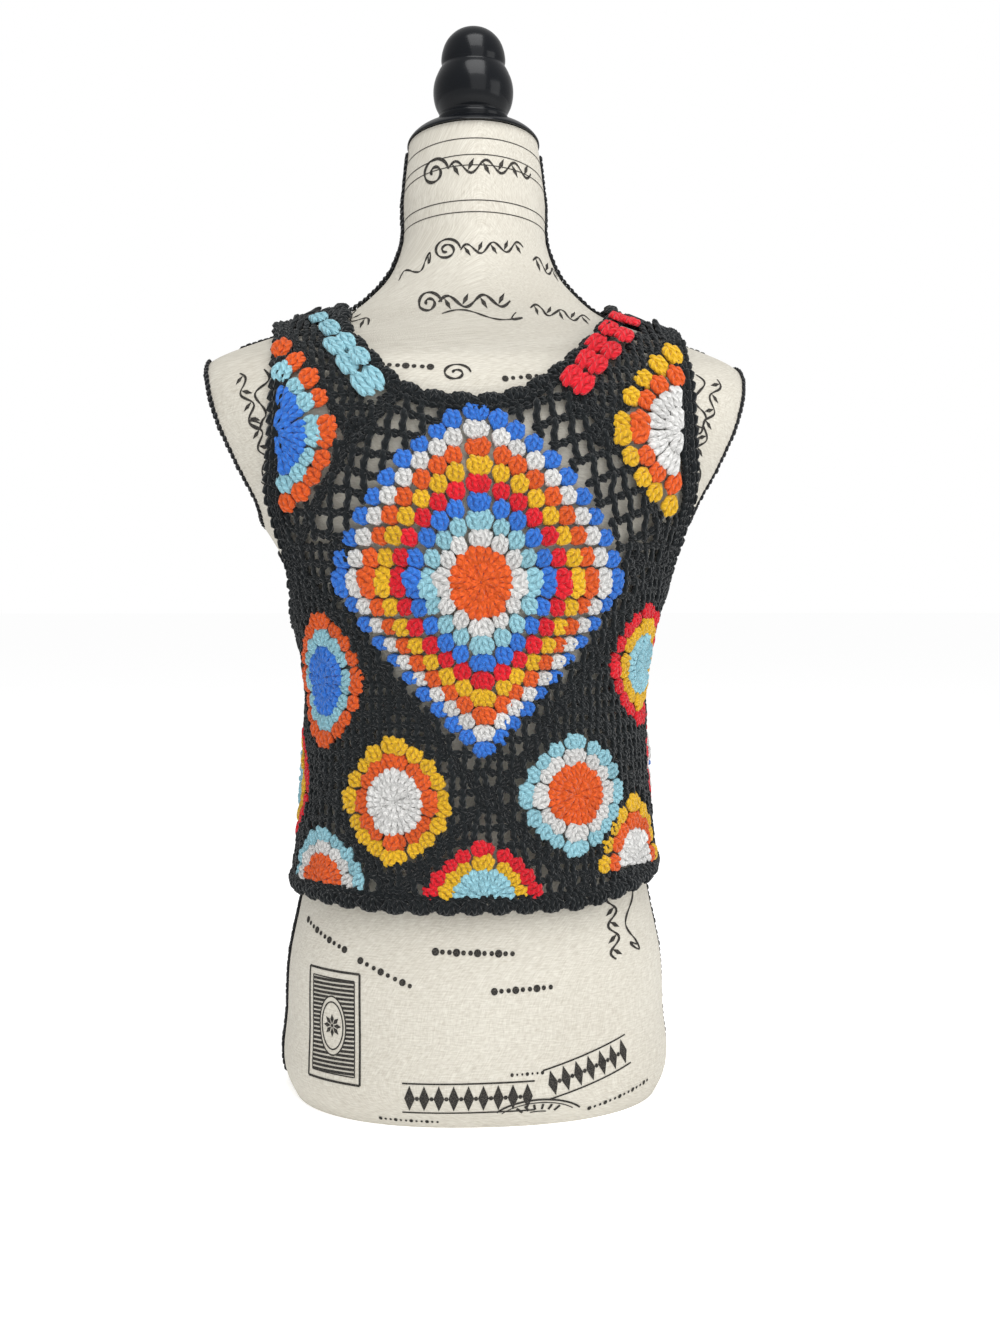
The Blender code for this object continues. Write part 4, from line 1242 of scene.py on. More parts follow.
def stitching_tree():
    """Stitches on the points of a mesh, turned, sized and coloured by its attributes."""
    group = bpy.data.node_groups.new("stitching", "GeometryNodeTree")
    for name, kind in (("Places", "Geometry"), ("Shapes", "Collection"), ("Yarn", "Material"),
                       ("Unevenness", "Float"), ("Seed", "Int"), ("Crochet", "Geometry")):
        way = "OUTPUT" if name == "Crochet" else "INPUT"
        group.interface.new_socket(name, in_out=way, socket_type="NodeSocket" + kind)
    tree = Tree(group)
    given = tree.node("NodeGroupInput").outputs
    shapes = tree.node("GeometryNodeCollectionInfo", {"transform_space": "ORIGINAL"}, Collection=given["Shapes"],
                       Separate_Children=True, Reset_Children=True)

    def named(name, kind):
        return tree.node("GeometryNodeInputNamedAttribute", {"data_type": kind}, Name=name).outputs["Attribute"]

    facing = tree.node("FunctionNodeAxesToRotation", {"primary_axis": "Z", "secondary_axis": "Y"},
                       Primary_Axis=named("facing", "FLOAT_VECTOR"), Secondary_Axis=named("growing", "FLOAT_VECTOR"))
    swing = tree.node("ShaderNodeVectorMath", {"operation": "SCALE"}, Scale=given["Unevenness"])
    swing.inputs[0].default_value = (1.0, 1.0, 1.0)
    back = tree.node("ShaderNodeVectorMath", {"operation": "SCALE"}, Scale=-1.0)
    tree.plug(back.inputs[0], swing.outputs[0])
    wobble = tree.node("FunctionNodeRandomValue", {"data_type": "FLOAT_VECTOR"}, Seed=given["Seed"])
    tree.plug(wobble.inputs[0], back.outputs[0])
    tree.plug(wobble.inputs[1], swing.outputs[0])
    turned = tree.node("FunctionNodeRotateRotation", {"rotation_space": "LOCAL"}, Rotation=facing.outputs[0])
    angles = tree.node("FunctionNodeEulerToRotation")
    tree.plug(angles.inputs[0], wobble.outputs[0])
    tree.plug(turned.inputs[1], angles.outputs[0])
    placed = tree.node("GeometryNodeInstanceOnPoints", None, Points=given["Places"], Instance=shapes.outputs[0],
                       Pick_Instance=True, Instance_Index=named("kind", "INT"), Rotation=turned.outputs[0],
                       Scale=named("size", "FLOAT_VECTOR"))
    real = tree.node("GeometryNodeRealizeInstances", None, Geometry=placed.outputs[0])
    finish = tree.node("GeometryNodeSetMaterial", None, Geometry=real.outputs[0], Material=given["Yarn"])
    tree.tree.links.new(finish.outputs[0], tree.node("NodeGroupOutput").inputs[0])
    return group


ATTRIBUTES = (("growing", 3), ("facing", 6), ("size", 9), ("tint", 12))


def crochet(name, kinds, rows, group, shelf, yarn, seed):
    """Turns stitches into one plain mesh."""
    places = bpy.data.meshes.new(name)
    places.from_pydata([tuple(point) for point in rows[:, :3]], [], [])
    for title, first in ATTRIBUTES:
        if title == "tint":
            layer = places.attributes.new(title, "FLOAT_COLOR", "POINT")
            values = np.concatenate([rows[:, first:first + 3], np.ones((len(rows), 1))], axis=1)
            layer.data.foreach_set("color", values.astype(np.float32).ravel())
        else:
            layer = places.attributes.new(title, "FLOAT_VECTOR", "POINT")
            layer.data.foreach_set("vector", rows[:, first:first + 3].astype(np.float32).ravel())
    places.attributes.new("kind", "INT", "POINT").data.foreach_set("value", kinds.astype(np.int32))
    carrier = add_object(name + "_places", places)
    modifier = carrier.modifiers.new("stitching", "NODES")
    modifier.node_group = group
    settings = bpy.context.scene.crochet_yarn
    inputs = {"Shapes": shelf, "Yarn": yarn, "Unevenness": settings.unevenness, "Seed": seed}
    for item in group.interface.items_tree:
        if item.in_out == "INPUT" and item.name in inputs:
            modifier[item.identifier] = inputs[item.name]
    depsgraph = bpy.context.evaluated_depsgraph_get()
    mesh = bpy.data.meshes.new_from_object(carrier.evaluated_get(depsgraph), depsgraph=depsgraph)
    bpy.data.objects.remove(carrier, do_unlink=True)
    mesh.name = name
    for title in ("kind", "growing", "facing", "size"):
        if title in mesh.attributes:
            mesh.attributes.remove(mesh.attributes[title])
    return add_object(name, mesh)


def crochet_piece(node, made, cloth="crochet"):
    """Puts a patch's meshes in its solid's place."""
    for piece in made.values():
        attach(piece, "root")
    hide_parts(node)
    others = [piece for layer, piece in made.items() if layer != cloth]


def flat_of(node):
    """The area of one side of a node's wall."""
    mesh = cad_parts[node].data
    return sum(face.area for face in mesh.polygons) / 2


def patch_flat(outline, node, fill=0.5):
    """The width, length and area of a patch laid flat. Its fill is the share of its box that it takes up."""
    centre = outline.mean(axis=0)
    _, normals = CLOTH_SURFACE.snap([centre])
    up = np.cross(normals[0], unit(np.cross(np.array([0.0, 0.0, 1.0]), normals[0])))
    area, tall = flat_of(node), np.ptp(outline @ up)
    return (area / fill / tall, tall), area


# ------------------------------------------------------------------ the form
BODY_HEIGHTS = (0.0, 0.004, 0.012, 0.035, 0.065, 0.095, 0.125, 0.16, 0.20, 0.24, 0.275, 0.305, 0.332, 0.354,
                0.372, 0.385, 0.395, 0.408, 0.424, 0.445, 0.470, 0.490, 0.504, 0.511, 0.516, 0.523, 0.530,
                0.538, 0.547, 0.558, 0.574, 0.596, 0.632, NECK_TOP)


def fine_turns(height):
    rim = min(plate_edge(height), PLATE_SPAN)
    half = [*np.linspace(0, rim, 41)[:-1], *np.linspace(rim, math.pi - rim, 21)[:-1],
            *np.linspace(math.pi - rim, math.pi, 41)[:-1]]
    return np.roll(half + [turn + math.pi for turn in half], -50)


def lofted(rings):
    """Closed rings joined into a solid. The texture places are the lengths round and up the surface."""
    count = len(rings[0])
    closed = [np.concatenate([ring, ring[:1]]) for ring in rings]
    across = [lengths_along(ring) for ring in closed]
    steps = [np.linalg.norm(after - ring, axis=1) for ring, after in zip(closed, closed[1:])]
    up = np.concatenate([np.zeros((1, count + 1)), np.cumsum(steps, axis=0)])
    faces, places = [tuple(range(count))[::-1]], [(point[0], point[1]) for point in rings[0][::-1]]
    for level in range(len(rings) - 1):
        low = level * count
        for i in range(count):
            after = (i + 1) % count
            faces.append((low + i, low + after, low + after + count, low + i + count))
            places += [(across[level][i], up[level][i]), (across[level][i + 1], up[level][i + 1]),
                       (across[level + 1][i + 1], up[level + 1][i + 1]), (across[level + 1][i], up[level + 1][i])]
    faces.append(tuple(range((len(rings) - 1) * count, len(rings) * count)))
    places += [(point[0], point[1]) for point in rings[-1]]
    return np.concatenate(rings), faces, places


def form_solid():
    steps = np.arange(0.0, len(BODY_HEIGHTS) - 0.999, 0.25)
    heights = np.interp(steps, np.arange(len(BODY_HEIGHTS)), BODY_HEIGHTS)
    return lofted([form_point(fine_turns(height), height) for height in heights])


TURNED_STEPS = 96
FITTING_GAP = 0.0003        # between the lacquered pieces and what they stand on


def turned(profile):
    """Rings of a turned piece, from (radius, height) pairs."""
    swings = np.linspace(0.0, 2 * math.pi, TURNED_STEPS, endpoint=False)
    return [np.stack([radius * np.sin(swings), -radius * np.cos(swings), np.full(TURNED_STEPS, height)], axis=1)
            for radius, height in profile]


def rounded(profile, times=2):
    """A profile with its corners cut off again and again, both ends kept."""
    line = np.array(profile)
    for _ in range(times):
        cut = np.stack([line[:-1] * 0.75 + line[1:] * 0.25, line[:-1] * 0.25 + line[1:] * 0.75], axis=1)
        line = np.concatenate([line[:1], cut.reshape(-1, 2), line[-1:]])
    return line


CAP_LEVELS = ((0.0, 1.00), (0.10, 0.995), (0.35, 0.93), (0.60, 0.83), (0.82, 0.70), (1.0, 0.56))
FINIAL_PROFILE = ((0.0252, 0.0), (0.0254, 0.0030), (0.0238, 0.0045), (0.0252, 0.0068), (0.0278, 0.0120),
                  (0.0291, 0.0200), (0.0283, 0.0280), (0.0250, 0.0358), (0.0228, 0.0392), (0.0226, 0.0400),
                  (0.0233, 0.0435), (0.0224, 0.0500), (0.0197, 0.0570), (0.0142, 0.0630), (0.0075, 0.0664),
                  (0.0004, 0.0670))


def cap_solid():
    rings = []
    for rise, share in rounded(CAP_LEVELS):
        ring = turned([((FORM[-1].half_width + CAP_OVERHANG) * share, 0.0)])[0]
        low = NECK_TOP - NECK_TILT * ring[:, 1] + FITTING_GAP
        ring[:, 2] = low + (FINIAL_FOOT - low) * rise
        rings.append(ring + np.array([0.0, FORM[-1].centre + FORWARD, 0.0]))
    return lofted(rings)


def finial_solid():
    foot = np.array([0.0, FORM[-1].centre + FORWARD, FINIAL_FOOT + FITTING_GAP])
    return lofted([ring + foot for ring in turned(rounded(FINIAL_PROFILE))])


# ------------------------------------------------------------------ the print on the cover
# Each stroke is a run of (s, height) places on the back or front, and how wide the ink is.
RULE_STEPS = 13
STROKE_STEPS = 60
INK_RISE = 0.00022
LOWEST_INK = 0.0105


def ribbon(flat, front, width):
    """A thin strip of ink that lies on the cover."""
    flat = np.array(flat)
    turns = np.array([SKIN.turn(s, height, front) for s, height in flat])
    points = torso_point(turns, flat[:, 1])
    normals = surface_normal(turns, flat[:, 1])
    side = unit(np.cross(normals, tangents(points)))
    width = np.broadcast_to(width, len(points))[:, None] / 2
    points = points + normals * INK_RISE
    count = len(points)
    strip = np.concatenate([points - side * width, points + side * width])
    faces = [(i + 1, i, i + count, i + count + 1) for i in range(count - 1)]
    return strip, faces, [(0.0, 0.0)] * 4 * len(faces)


def run_of(start, end):
    """A line's start, the run to its end, and the direction to its left."""
    start, end = np.array(start), np.array(end)
    along = end - start
    return start, along, np.array([-along[1], along[0]]) / np.linalg.norm(along)


def oval(middle, across, up, swings):
    return [(middle[0] + across * math.cos(swing), middle[1] + up * math.sin(swing)) for swing in swings]


def wave(waves):
    """A stem that winds from side to side."""
    t = np.linspace(0.0, 1.0, 50)
    return list(zip(t, np.sin(t * waves * 2 * math.pi) * 0.28))


def blot(strokes, middle, along, long, wide, point, front):
    """A filled leaf, lozenge or dot. The point is 0.5 for a round end and 1 for a sharp one."""
    t = np.linspace(-1.0, 1.0, 9)
    along = np.array(along) / np.linalg.norm(along)
    flat = [tuple(np.array(middle) + along * step * long / 2) for step in t]
    strokes.append(ribbon(flat, front, wide * np.maximum(1.0 - np.abs(t) ** (1 / point), 0.0) ** point + 0.0001))


def swash(waves):
    """A long pen stroke that ends in a curl."""
    t = np.linspace(0.0, 1.0, STROKE_STEPS)
    curl = np.maximum(0.0, t - 0.72) / 0.28
    x = t * 0.86 - curl ** 1.5 * 0.18 + np.sin(curl * 6.0) * 0.06
    y = np.sin(t * waves * 2 * math.pi) * 0.35 * (1 - t * 0.4) + curl * 0.5 * np.cos(curl * 5.0)
    return list(zip(x, y))


def spiral(turns):
    t = np.linspace(0.0, 1.0, STROKE_STEPS)
    radius = 0.5 * (1 - t * 0.85)
    return list(zip(0.5 + radius * np.cos(t * turns * 2 * math.pi), radius * np.sin(t * turns * 2 * math.pi)))


def pen(strokes, shape, start, end, tall, width, front):
    """A shape of unit length, drawn between two places with a stroke of changing width."""
    start, along, up = run_of(start, end)
    up = up * tall
    flat = [tuple(start + along * x + up * y) for x, y in shape]
    share = np.linspace(0.0, 1.0, len(flat))
    strokes.append(ribbon(flat, front, width * (0.55 + 0.6 * np.abs(np.sin(share * 19.0)))))


def vine(strokes, start, end, tall, leaves, width, front):
    """A winding stem with leaves on both sides."""
    pen(strokes, wave(leaves / 2), start, end, tall, width, front)
    start, along, up = run_of(start, end)
    for leaf in range(leaves):
        side = 1 if leaf % 2 else -1
        at = start + along * (leaf + 0.5) / leaves
        heading = along / np.linalg.norm(along) * 0.55 + up * side
        blot(strokes, at + up * side * tall * 0.10, heading, tall * 0.62, tall * 0.20, 1.0, front)


def beads(strokes, start, end, tall, count, front):
    """A row of dots of two sizes."""
    start, along, _ = run_of(start, end)
    for step in range(count):
        big = tall * (0.42 if step % 3 else 0.66)
        blot(strokes, start + along * (step + 0.5) / count, along, big, big, 0.5, front)


def heading(strokes, start, end, tall, count, front):
    """A border of tall filled lozenges with dots between them, ruled above and below."""
    start, along, up = run_of(start, end)
    for step in range(count):
        at = start + along * (step + 0.5) / count
        blot(strokes, at, up, tall * 0.86, np.linalg.norm(along) / count * 0.72, 1.0, front)
        if step:
            spot = at - along * 0.5 / count
            blot(strokes, spot, along, tall * 0.14, tall * 0.14, 0.5, front)
    for side in (-0.5, 0.5):
        strokes.append(ribbon(straight(start + up * tall * side, end + up * tall * side, RULE_STEPS), front, 0.0011))


def hatched_frame(strokes, low, high, front):
    """An upright frame with a notched edge, hatched inside round a bare oval."""
    inner = np.array([[low[0] + 0.004, low[1] + 0.005], [high[0] - 0.004, high[1] - 0.005]])
    for (left, bottom), (right, top), width in ((low, high, 0.0016), (*inner, 0.0008)):
        corners = [(left, bottom), (right, bottom), (right, top), (left, top), (left, bottom)]
        strokes += [ribbon(straight(a, b, RULE_STEPS), front, width) for a, b in zip(corners, corners[1:])]
    middle, size = inner.mean(axis=0), (inner[1] - inner[0]) / 2
    for step in range(22):
        height = inner[0][1] + (inner[1][1] - inner[0][1]) * (step + 0.5) / 22
        reach = abs(height - middle[1]) / (size[1] * 0.62)
        gap = size[0] * 0.62 * math.sqrt(max(0.0, 1 - reach * reach))
        for side in (-1, 1):
            run = straight((middle[0] + side * gap, height), (middle[0] + side * size[0], height + side * 0.0006), 5)
            if abs(run[0][0] - run[-1][0]) > 0.001:
                strokes.append(ribbon(run, front, 0.0018))
    swings = np.linspace(0.0, 2 * math.pi, 40)
    for share in (0.62, 0.50):
        strokes.append(ribbon(oval(middle, size[0] * share, size[1] * share, swings), front, 0.0010))
    for step in range(8):
        a = step * math.pi / 4
        at = middle + np.array([math.cos(a), math.sin(a)]) * size[0] * 0.24
        blot(strokes, at, (math.cos(a), math.sin(a)), size[0] * 0.34, size[0] * 0.16, 1.0, front)
    blot(strokes, middle, (1.0, 0.0), size[0] * 0.12, size[0] * 0.12, 0.5, front)


def cancel_mark(strokes, middle, across, up, front):
    """A double ring round a third, with bars between them."""
    swings = np.linspace(0.0, 2 * math.pi, 60)
    for share, width in ((1.0, 0.0014), (0.88, 0.0007), (0.52, 0.0009)):
        ring = oval(middle, across * share, up * share, swings)
        strokes.append(ribbon([place for place in ring if place[1] > LOWEST_INK], front, width))
    for step in range(14):
        swing = [0.12 + step * 0.225]
        run = [oval(middle, across * share, up * share, swing)[0] for share in (0.60, 0.82)]
        if min(run[0][1], run[1][1]) > LOWEST_INK:
            strokes.append(ribbon(straight(*run, 2), front, 0.0017))


def neck_rules(strokes):
    for height, bend in ((0.6600, 0.004), (0.6470, 0.006), (0.6400, 0.006), (0.6190, 0.004), (0.6115, 0.004)):
        for front in (False, True):
            run = [(s, height + bend * (1 - (s / 0.07) ** 2) * (-1 if front else 1))
                   for s in np.linspace(-0.074, 0.074, 40)]
            strokes.append(ribbon(run, front, 0.0007))


def printed(front):
    """The strokes of one side of the cover."""
    strokes = []
    flip = -1 if front else 1

    def turned_over(*places):
        return [(s * flip, height) for s, height in places]

    def draw(shape, start, end, tall, width):
        pen(strokes, shape, *turned_over(start, end), tall, width, front)

    def grow(start, end, tall, leaves, width=0.0016):
        vine(strokes, *turned_over(start, end), tall, leaves, width, front)

    def dot(start, end, tall, count):
        beads(strokes, *turned_over(start, end), tall, count, front)

    grow((-0.022, 0.6445), (0.042, 0.6465), 0.015, 6, 0.0017)
    draw(spiral(1.6), (-0.044, 0.6425), (-0.022, 0.6445), 0.021, 0.0021)
    grow((-0.014, 0.5900), (0.032, 0.5945), 0.013, 5, 0.0015)
    draw(spiral(1.8), (-0.034, 0.5900), (-0.014, 0.5915), 0.017, 0.0018)
    draw(swash(1.5), (-0.062, 0.5720), (-0.024, 0.5920), 0.015, 0.0015)
    grow((0.040, 0.5860), (0.070, 0.5790), 0.016, 3, 0.0016)
    grow((-0.030, 0.5530), (0.020, 0.5545), 0.015, 4, 0.0020)
    draw(spiral(1.6), (-0.046, 0.5520), (-0.028, 0.5530), 0.018, 0.0020)
    grow((0.034, 0.5500), (0.080, 0.5440), 0.012, 5, 0.0016)
    draw(swash(1.2), (-0.028, 0.5445), (0.050, 0.5420), 0.010, 0.0012)
    dot((-0.072, 0.5065), (-0.034, 0.5045), 0.0080, 7)
    draw(spiral(1.5), (-0.030, 0.5000), (-0.010, 0.5010), 0.014, 0.0018)
    dot((0.010, 0.4965), (0.052, 0.5010), 0.0070, 8)
    grow((-0.104, 0.5520), (-0.078, 0.5370), 0.013, 3)
    for side in (-1, 1):
        draw(swash(2.0), (side * 0.1500, 0.5050), (side * 0.1560, 0.4480), 0.016, 0.0016)
        grow((side * 0.1680, 0.5030), (side * 0.1500, 0.4380), 0.014, 7)
        draw(spiral(1.7), (side * 0.1440, 0.4420), (side * 0.1600, 0.4300), 0.016, 0.0016)
        grow((side * 0.1340, 0.4750), (side * 0.1450, 0.4300), 0.010, 6, 0.0012)
    dot((-0.144, 0.1290), (-0.098, 0.1140), 0.0070, 10)
    dot((-0.090, 0.1100), (-0.050, 0.0940), 0.0070, 8)
    dot((-0.0375, 0.1175), (0.0183, 0.1155), 0.0078, 12)
    dot((0.0010, 0.0915), (0.0440, 0.0930), 0.0074, 9)
    dot((0.0130, 0.0370), (0.0370, 0.0375), 0.0036, 7)
    grow((0.0900, 0.1600), (0.0930, 0.1060), 0.016, 6, 0.0020)
    draw(swash(1.5), (0.1080, 0.1560), (0.1140, 0.0900), 0.022, 0.0018)
    left = 0.0880 if front else -0.1330
    hatched_frame(strokes, (left, 0.0270), (left + 0.0450, 0.1000), front)
    heading(strokes, *turned_over((-0.0580, 0.0215), (0.0300, 0.0225)), 0.0200, 9, front)
    heading(strokes, *turned_over((0.0380, 0.0290), (0.1020, 0.0450)), 0.0200, 7, front)
    dot((-0.0760, 0.0052), (-0.0330, 0.0048), 0.0042, 12)
    dot((0.0680, 0.0085), (0.1250, 0.0190), 0.0050, 14)
    cancel_mark(strokes, (0.0330 * flip, 0.0020), 0.0340, 0.0175, front)
    return strokes


# ------------------------------------------------------------------ the braid
BRAID_LINK = 0.0042
BRAID_SPREAD = 0.0034
SEAM_BRAID_RISE = 0.0001    # the braid on the seams lies this far above the cover
PLATE_BRAID_SINK = 0.0006   # the braid round a plate lies this far into its corner


def braid_rows(stitches, path, normals, rows, spread, colour, width):
    """Chains side by side along a path."""
    side = unit(np.cross(normals, tangents(path)))
    for row in range(rows):
        offset = (row - (rows - 1) / 2) * spread
        shifted = path + side * offset
        long = lengths_along(shifted)[-1]
        count = int(long / BRAID_LINK)
        places = at_lengths(shifted, np.linspace(0.0, long, count + 1))
        up = unit(at_shares(normals, np.linspace(0.0, 1.0, count + 1)))
        steps = np.diff(places, axis=0)
        if row % 2:
            places, steps, up = places[::-1], -steps[::-1], up[::-1]
        size = np.stack([np.full(count, width), np.linalg.norm(steps, axis=1) / LINK_LONG * LINK_OVERLAP,
                         np.full(count, width * 0.8)], axis=1)
        stitches.add("link", places[:-1], steps, size, colour, up[:-1])


def side_braid(side, low, high):
    heights = np.linspace(low, high, 90)
    turns = np.full(90, math.pi / 2 * side)
    normals = surface_normal(turns, heights)
    return torso_point(turns, heights) + normals * SEAM_BRAID_RISE, normals


def plate_braid(side):
    middle, reach = (PLATE_EDGE_LOW + PLATE_EDGE_HIGH) / 2, (PLATE_EDGE_HIGH - PLATE_EDGE_LOW) / 2
    path, normals = [], []
    for swing in np.linspace(0.0, 2 * math.pi, 121):
        height = middle - reach * math.cos(swing)
        rim = plate_edge(height)
        turn = side * (rim if swing < math.pi else math.pi - rim)
        out = unit(surface_normal(turn, height) + np.array([side, 0.0, -0.25]))
        path.append(form_point(np.array(turn), height) - out * PLATE_BRAID_SINK)
        normals.append(out)
    return np.array(path), np.array(normals)


# ------------------------------------------------------------------ what a user may change
def colour_property(name, text, default):
    return FloatVectorProperty(name=name, description=text, subtype="COLOR", size=3, min=0.0, max=1.0,
                               default=default)


class CrochetYarn(bpy.types.PropertyGroup):
    """The yarns of the top."""
    strand_width: FloatProperty(name="Strand width", description="Thickness of one strand of a stitch",
                                default=0.0044, min=0.002, max=0.006, unit="LENGTH", precision=4)
    unevenness: FloatProperty(name="Unevenness", description="How far a stitch may lean out of its row",
                              default=0.10, min=0.0, max=0.5, subtype="ANGLE")
    seed: IntProperty(name="Seed", description="Starting number of the stitches' unevenness", default=5, min=0)
    orange: colour_property("Orange", "Orange yarn", (0.68, 0.098, 0.016))
    white: colour_property("White", "White yarn", (0.64, 0.635, 0.62))
    light_blue: colour_property("Light blue", "Light blue yarn", (0.27, 0.52, 0.60))
    blue: colour_property("Blue", "Blue yarn", (0.034, 0.165, 0.600))
    red: colour_property("Red", "Red yarn", (0.66, 0.012, 0.024))
    yellow: colour_property("Yellow", "Golden yellow yarn", (0.72, 0.42, 0.018))
    black: colour_property("Black", "Black yarn of the net and the edgings", (0.0085, 0.0110, 0.0125))

    def colours(self):
        names = ("orange", "white", "light_blue", "blue", "red", "yellow", "black")
        return {name: tuple(getattr(self, name)) for name in names}


class FormLook(bpy.types.PropertyGroup):
    """The dress form's cover, print and lacquer."""
    thread_pitch: FloatProperty(name="Thread pitch", description="Distance between two threads of the linen",
                                default=0.00085, min=0.0003, max=0.003, unit="LENGTH", precision=5)
    linen_light: colour_property("Linen light", "Lightest colour of the linen", (0.665, 0.640, 0.565))
    linen_dark: colour_property("Linen dark", "Darkest colour of the linen", (0.475, 0.440, 0.372))
    ink: colour_property("Ink", "Colour of the print on the linen", (0.018, 0.017, 0.017))
    lacquer: colour_property("Lacquer", "Colour of the cap and the finial", (0.0035, 0.0042, 0.0055))
    braid: colour_property("Braid", "Colour of the braid on the form's seams", (0.010, 0.011, 0.013))


class StudioStage(bpy.types.PropertyGroup):
    """The floor, the lights and the camera."""
    floor_colour: colour_property("Floor", "Colour of the floor", (0.90, 0.90, 0.90))
    distance: FloatProperty(name="Camera distance", description="From the form's upright axis to the camera",
                            default=1.11, min=0.5, max=5.0, unit="LENGTH")
    camera_height: FloatProperty(name="Camera height", description="How high the camera stands", default=0.350,
                                 min=0.0, max=2.0, unit="LENGTH")
    turn: FloatProperty(name="Camera turn", description="How far round the object the camera stands",
                        default=math.radians(-5.0), subtype="ANGLE")
    pitch: FloatProperty(name="Camera pitch", description="How far the camera looks down",
                         default=math.radians(2.47), subtype="ANGLE")
    lens: FloatProperty(name="Lens", description="Focal length in millimetres", default=41.6, min=20.0, max=200.0)


# ------------------------------------------------------------------ operators
WORKSHOP = {}               # the shapes, the node group and the yarn that all the crochet pieces share
STRAP_SEED, UNDERARM_SEED, EDGING_SEED, BRAID_SEED = 40, 50, 60, 70     # added to the seed a user may change
STRAP_FILL = 0.7            # the share of its box that a strap takes up


def workshop():
    if not WORKSHOP:
        yarn = bpy.context.scene.crochet_yarn
        WORKSHOP.update(group=stitching_tree(), shelf=add_shapes(yarn), yarn=yarn_finish("yarn"),
                        colours=yarn.colours(), seed=yarn.seed)
    return WORKSHOP


def worked(node, stitches, seed):
    """Makes a piece's meshes from its stitches, one for each layer, or stops if it has none."""
    shop = workshop()
    made = {}
    for layer in LAYERS:
        kinds, rows = stitches.table(layer)
        if kinds is not None:
            made[layer] = crochet(f"{layer}_{node}", kinds, rows, shop["group"], shop["shelf"], shop["yarn"], seed)
    if not made or not all(piece.data.polygons for piece in made.values()):
        raise RuntimeError(f"{node} has no stitches")
    return made


def build_patch(node, stitches, outline, slot, seed, fill=0.5, cloth="crochet"):
    flat, area = patch_flat(outline, node, fill)
    crochet_piece(node, worked(node, stitches, seed), cloth)


def build_motifs(kinds, slot):
    shop = workshop()
    for index, motif in enumerate(MOTIFS):
        if motif.node.startswith(kinds):
            made = motif_stitches(motif, shop["colours"], shop["seed"] + index)
            build_patch(motif.node, *made, slot, index, cloth="rounds")


class MotifOperator:
    """What the operators that make motifs share: the start of their names, and the name of a finish slot, which is
    not used.
    """

    def execute(self, context):
        build_motifs(self.kinds, self.finish)
        return {"FINISHED"}


class TOP_OT_centre_squares(MotifOperator, bpy.types.Operator):
    """The two big squares, ten rounds each"""
    bl_idname = "crochet_top.centre_squares"
    bl_label = "Centre squares"
    kinds, finish = ("back_centre", "front_centre"), "yarn_centre_squares"


class TOP_OT_side_squares(MotifOperator, bpy.types.Operator):
    """The four squares beside the big ones"""
    bl_idname = "crochet_top.side_squares"
    bl_label = "Side squares"
    kinds, finish = "side_square", "yarn_side_squares"


class TOP_OT_lower_squares(MotifOperator, bpy.types.Operator):
    """The row of squares below the big ones"""
    bl_idname = "crochet_top.lower_squares"
    bl_label = "Lower squares"
    kinds, finish = "lower_square", "yarn_lower_squares"


class TOP_OT_hem_halves(MotifOperator, bpy.types.Operator):
    """The half squares on the hem"""
    bl_idname = "crochet_top.hem_halves"
    bl_label = "Hem half squares"
    kinds, finish = "hem_half", "yarn_hem_halves"


class TOP_OT_armhole_halves(MotifOperator, bpy.types.Operator):
    """The half squares on the armholes"""
    bl_idname = "crochet_top.armhole_halves"
    bl_label = "Armhole half squares"
    kinds, finish = "armhole_half", "yarn_armhole_halves"


class TOP_OT_shoulder_pieces(bpy.types.Operator):
    """The shoulder pieces, each a coloured strip in black net"""
    bl_idname = "crochet_top.shoulder_pieces"
    bl_label = "Shoulder pieces"

    def execute(self, context):
        shop = workshop()
        sides = ((-1, False), (1, False), (-1, True), (1, True))
        for seed, (side, front) in enumerate(sides, STRAP_SEED):
            name = ("front_" if front else "back_") + ("right" if side > 0 else "left")
            made = strap_stitches(side, front, name, shop["colours"], shop["seed"] + seed)
            build_patch("shoulder_piece_" + name, *made, "yarn_black", seed, STRAP_FILL)
        return {"FINISHED"}


class TOP_OT_underarms(bpy.types.Operator):
    """The black half squares under the arms"""
    bl_idname = "crochet_top.underarms"
    bl_label = "Underarm half squares"

    def execute(self, context):
        shop = workshop()
        for side, name in ((-1, "underarm_half_left"), (1, "underarm_half_right")):
            made = underarm_stitches(side, shop["colours"], shop["seed"] + UNDERARM_SEED + side)
            build_patch(name, *made, "yarn_black", UNDERARM_SEED + side)
        return {"FINISHED"}


class TOP_OT_edgings(bpy.types.Operator):
    """The scalloped neck and hem, and the plain armhole edges"""
    bl_idname = "crochet_top.edgings"
    bl_label = "Edgings"

    def execute(self, context):
        shop = workshop()
        rings = (neck_ring(), hem_ring(), armhole_ring(-1), armhole_ring(1))
        for seed, (edging, ring) in enumerate(zip(EDGINGS, rings), EDGING_SEED):
            stitches, points = edging_stitches(edging, ring, shop["colours"], shop["seed"] + seed)
            crochet_piece(edging.node, worked(edging.node, stitches, seed))
        return {"FINISHED"}


def dress_form_piece(name, solid, node, finish, sharp=None):
    made = add_object(name, mesh_of(name, *solid, sharp=sharp))
    made.data.materials.append(finish)
    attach(made, "root")
    if node:
        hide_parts(node)
    return made


class FORM_OT_cover(bpy.types.Operator):
    """The dress form's body in its linen cover, with its print"""
    bl_idname = "dress_form.cover"
    bl_label = "Linen cover"

    def execute(self, context):
        look = context.scene.form_look
        dress_form_piece("linen_body", form_solid(), "form_body", linen_finish(look), 32)
        ink = ink_finish(look)
        for front, name in ((False, "print_back"), (True, "print_front")):
            strokes = printed(front)
            if not front:
                neck_rules(strokes)
            dress_form_piece(name, joined(strokes), None, ink)
        return {"FINISHED"}


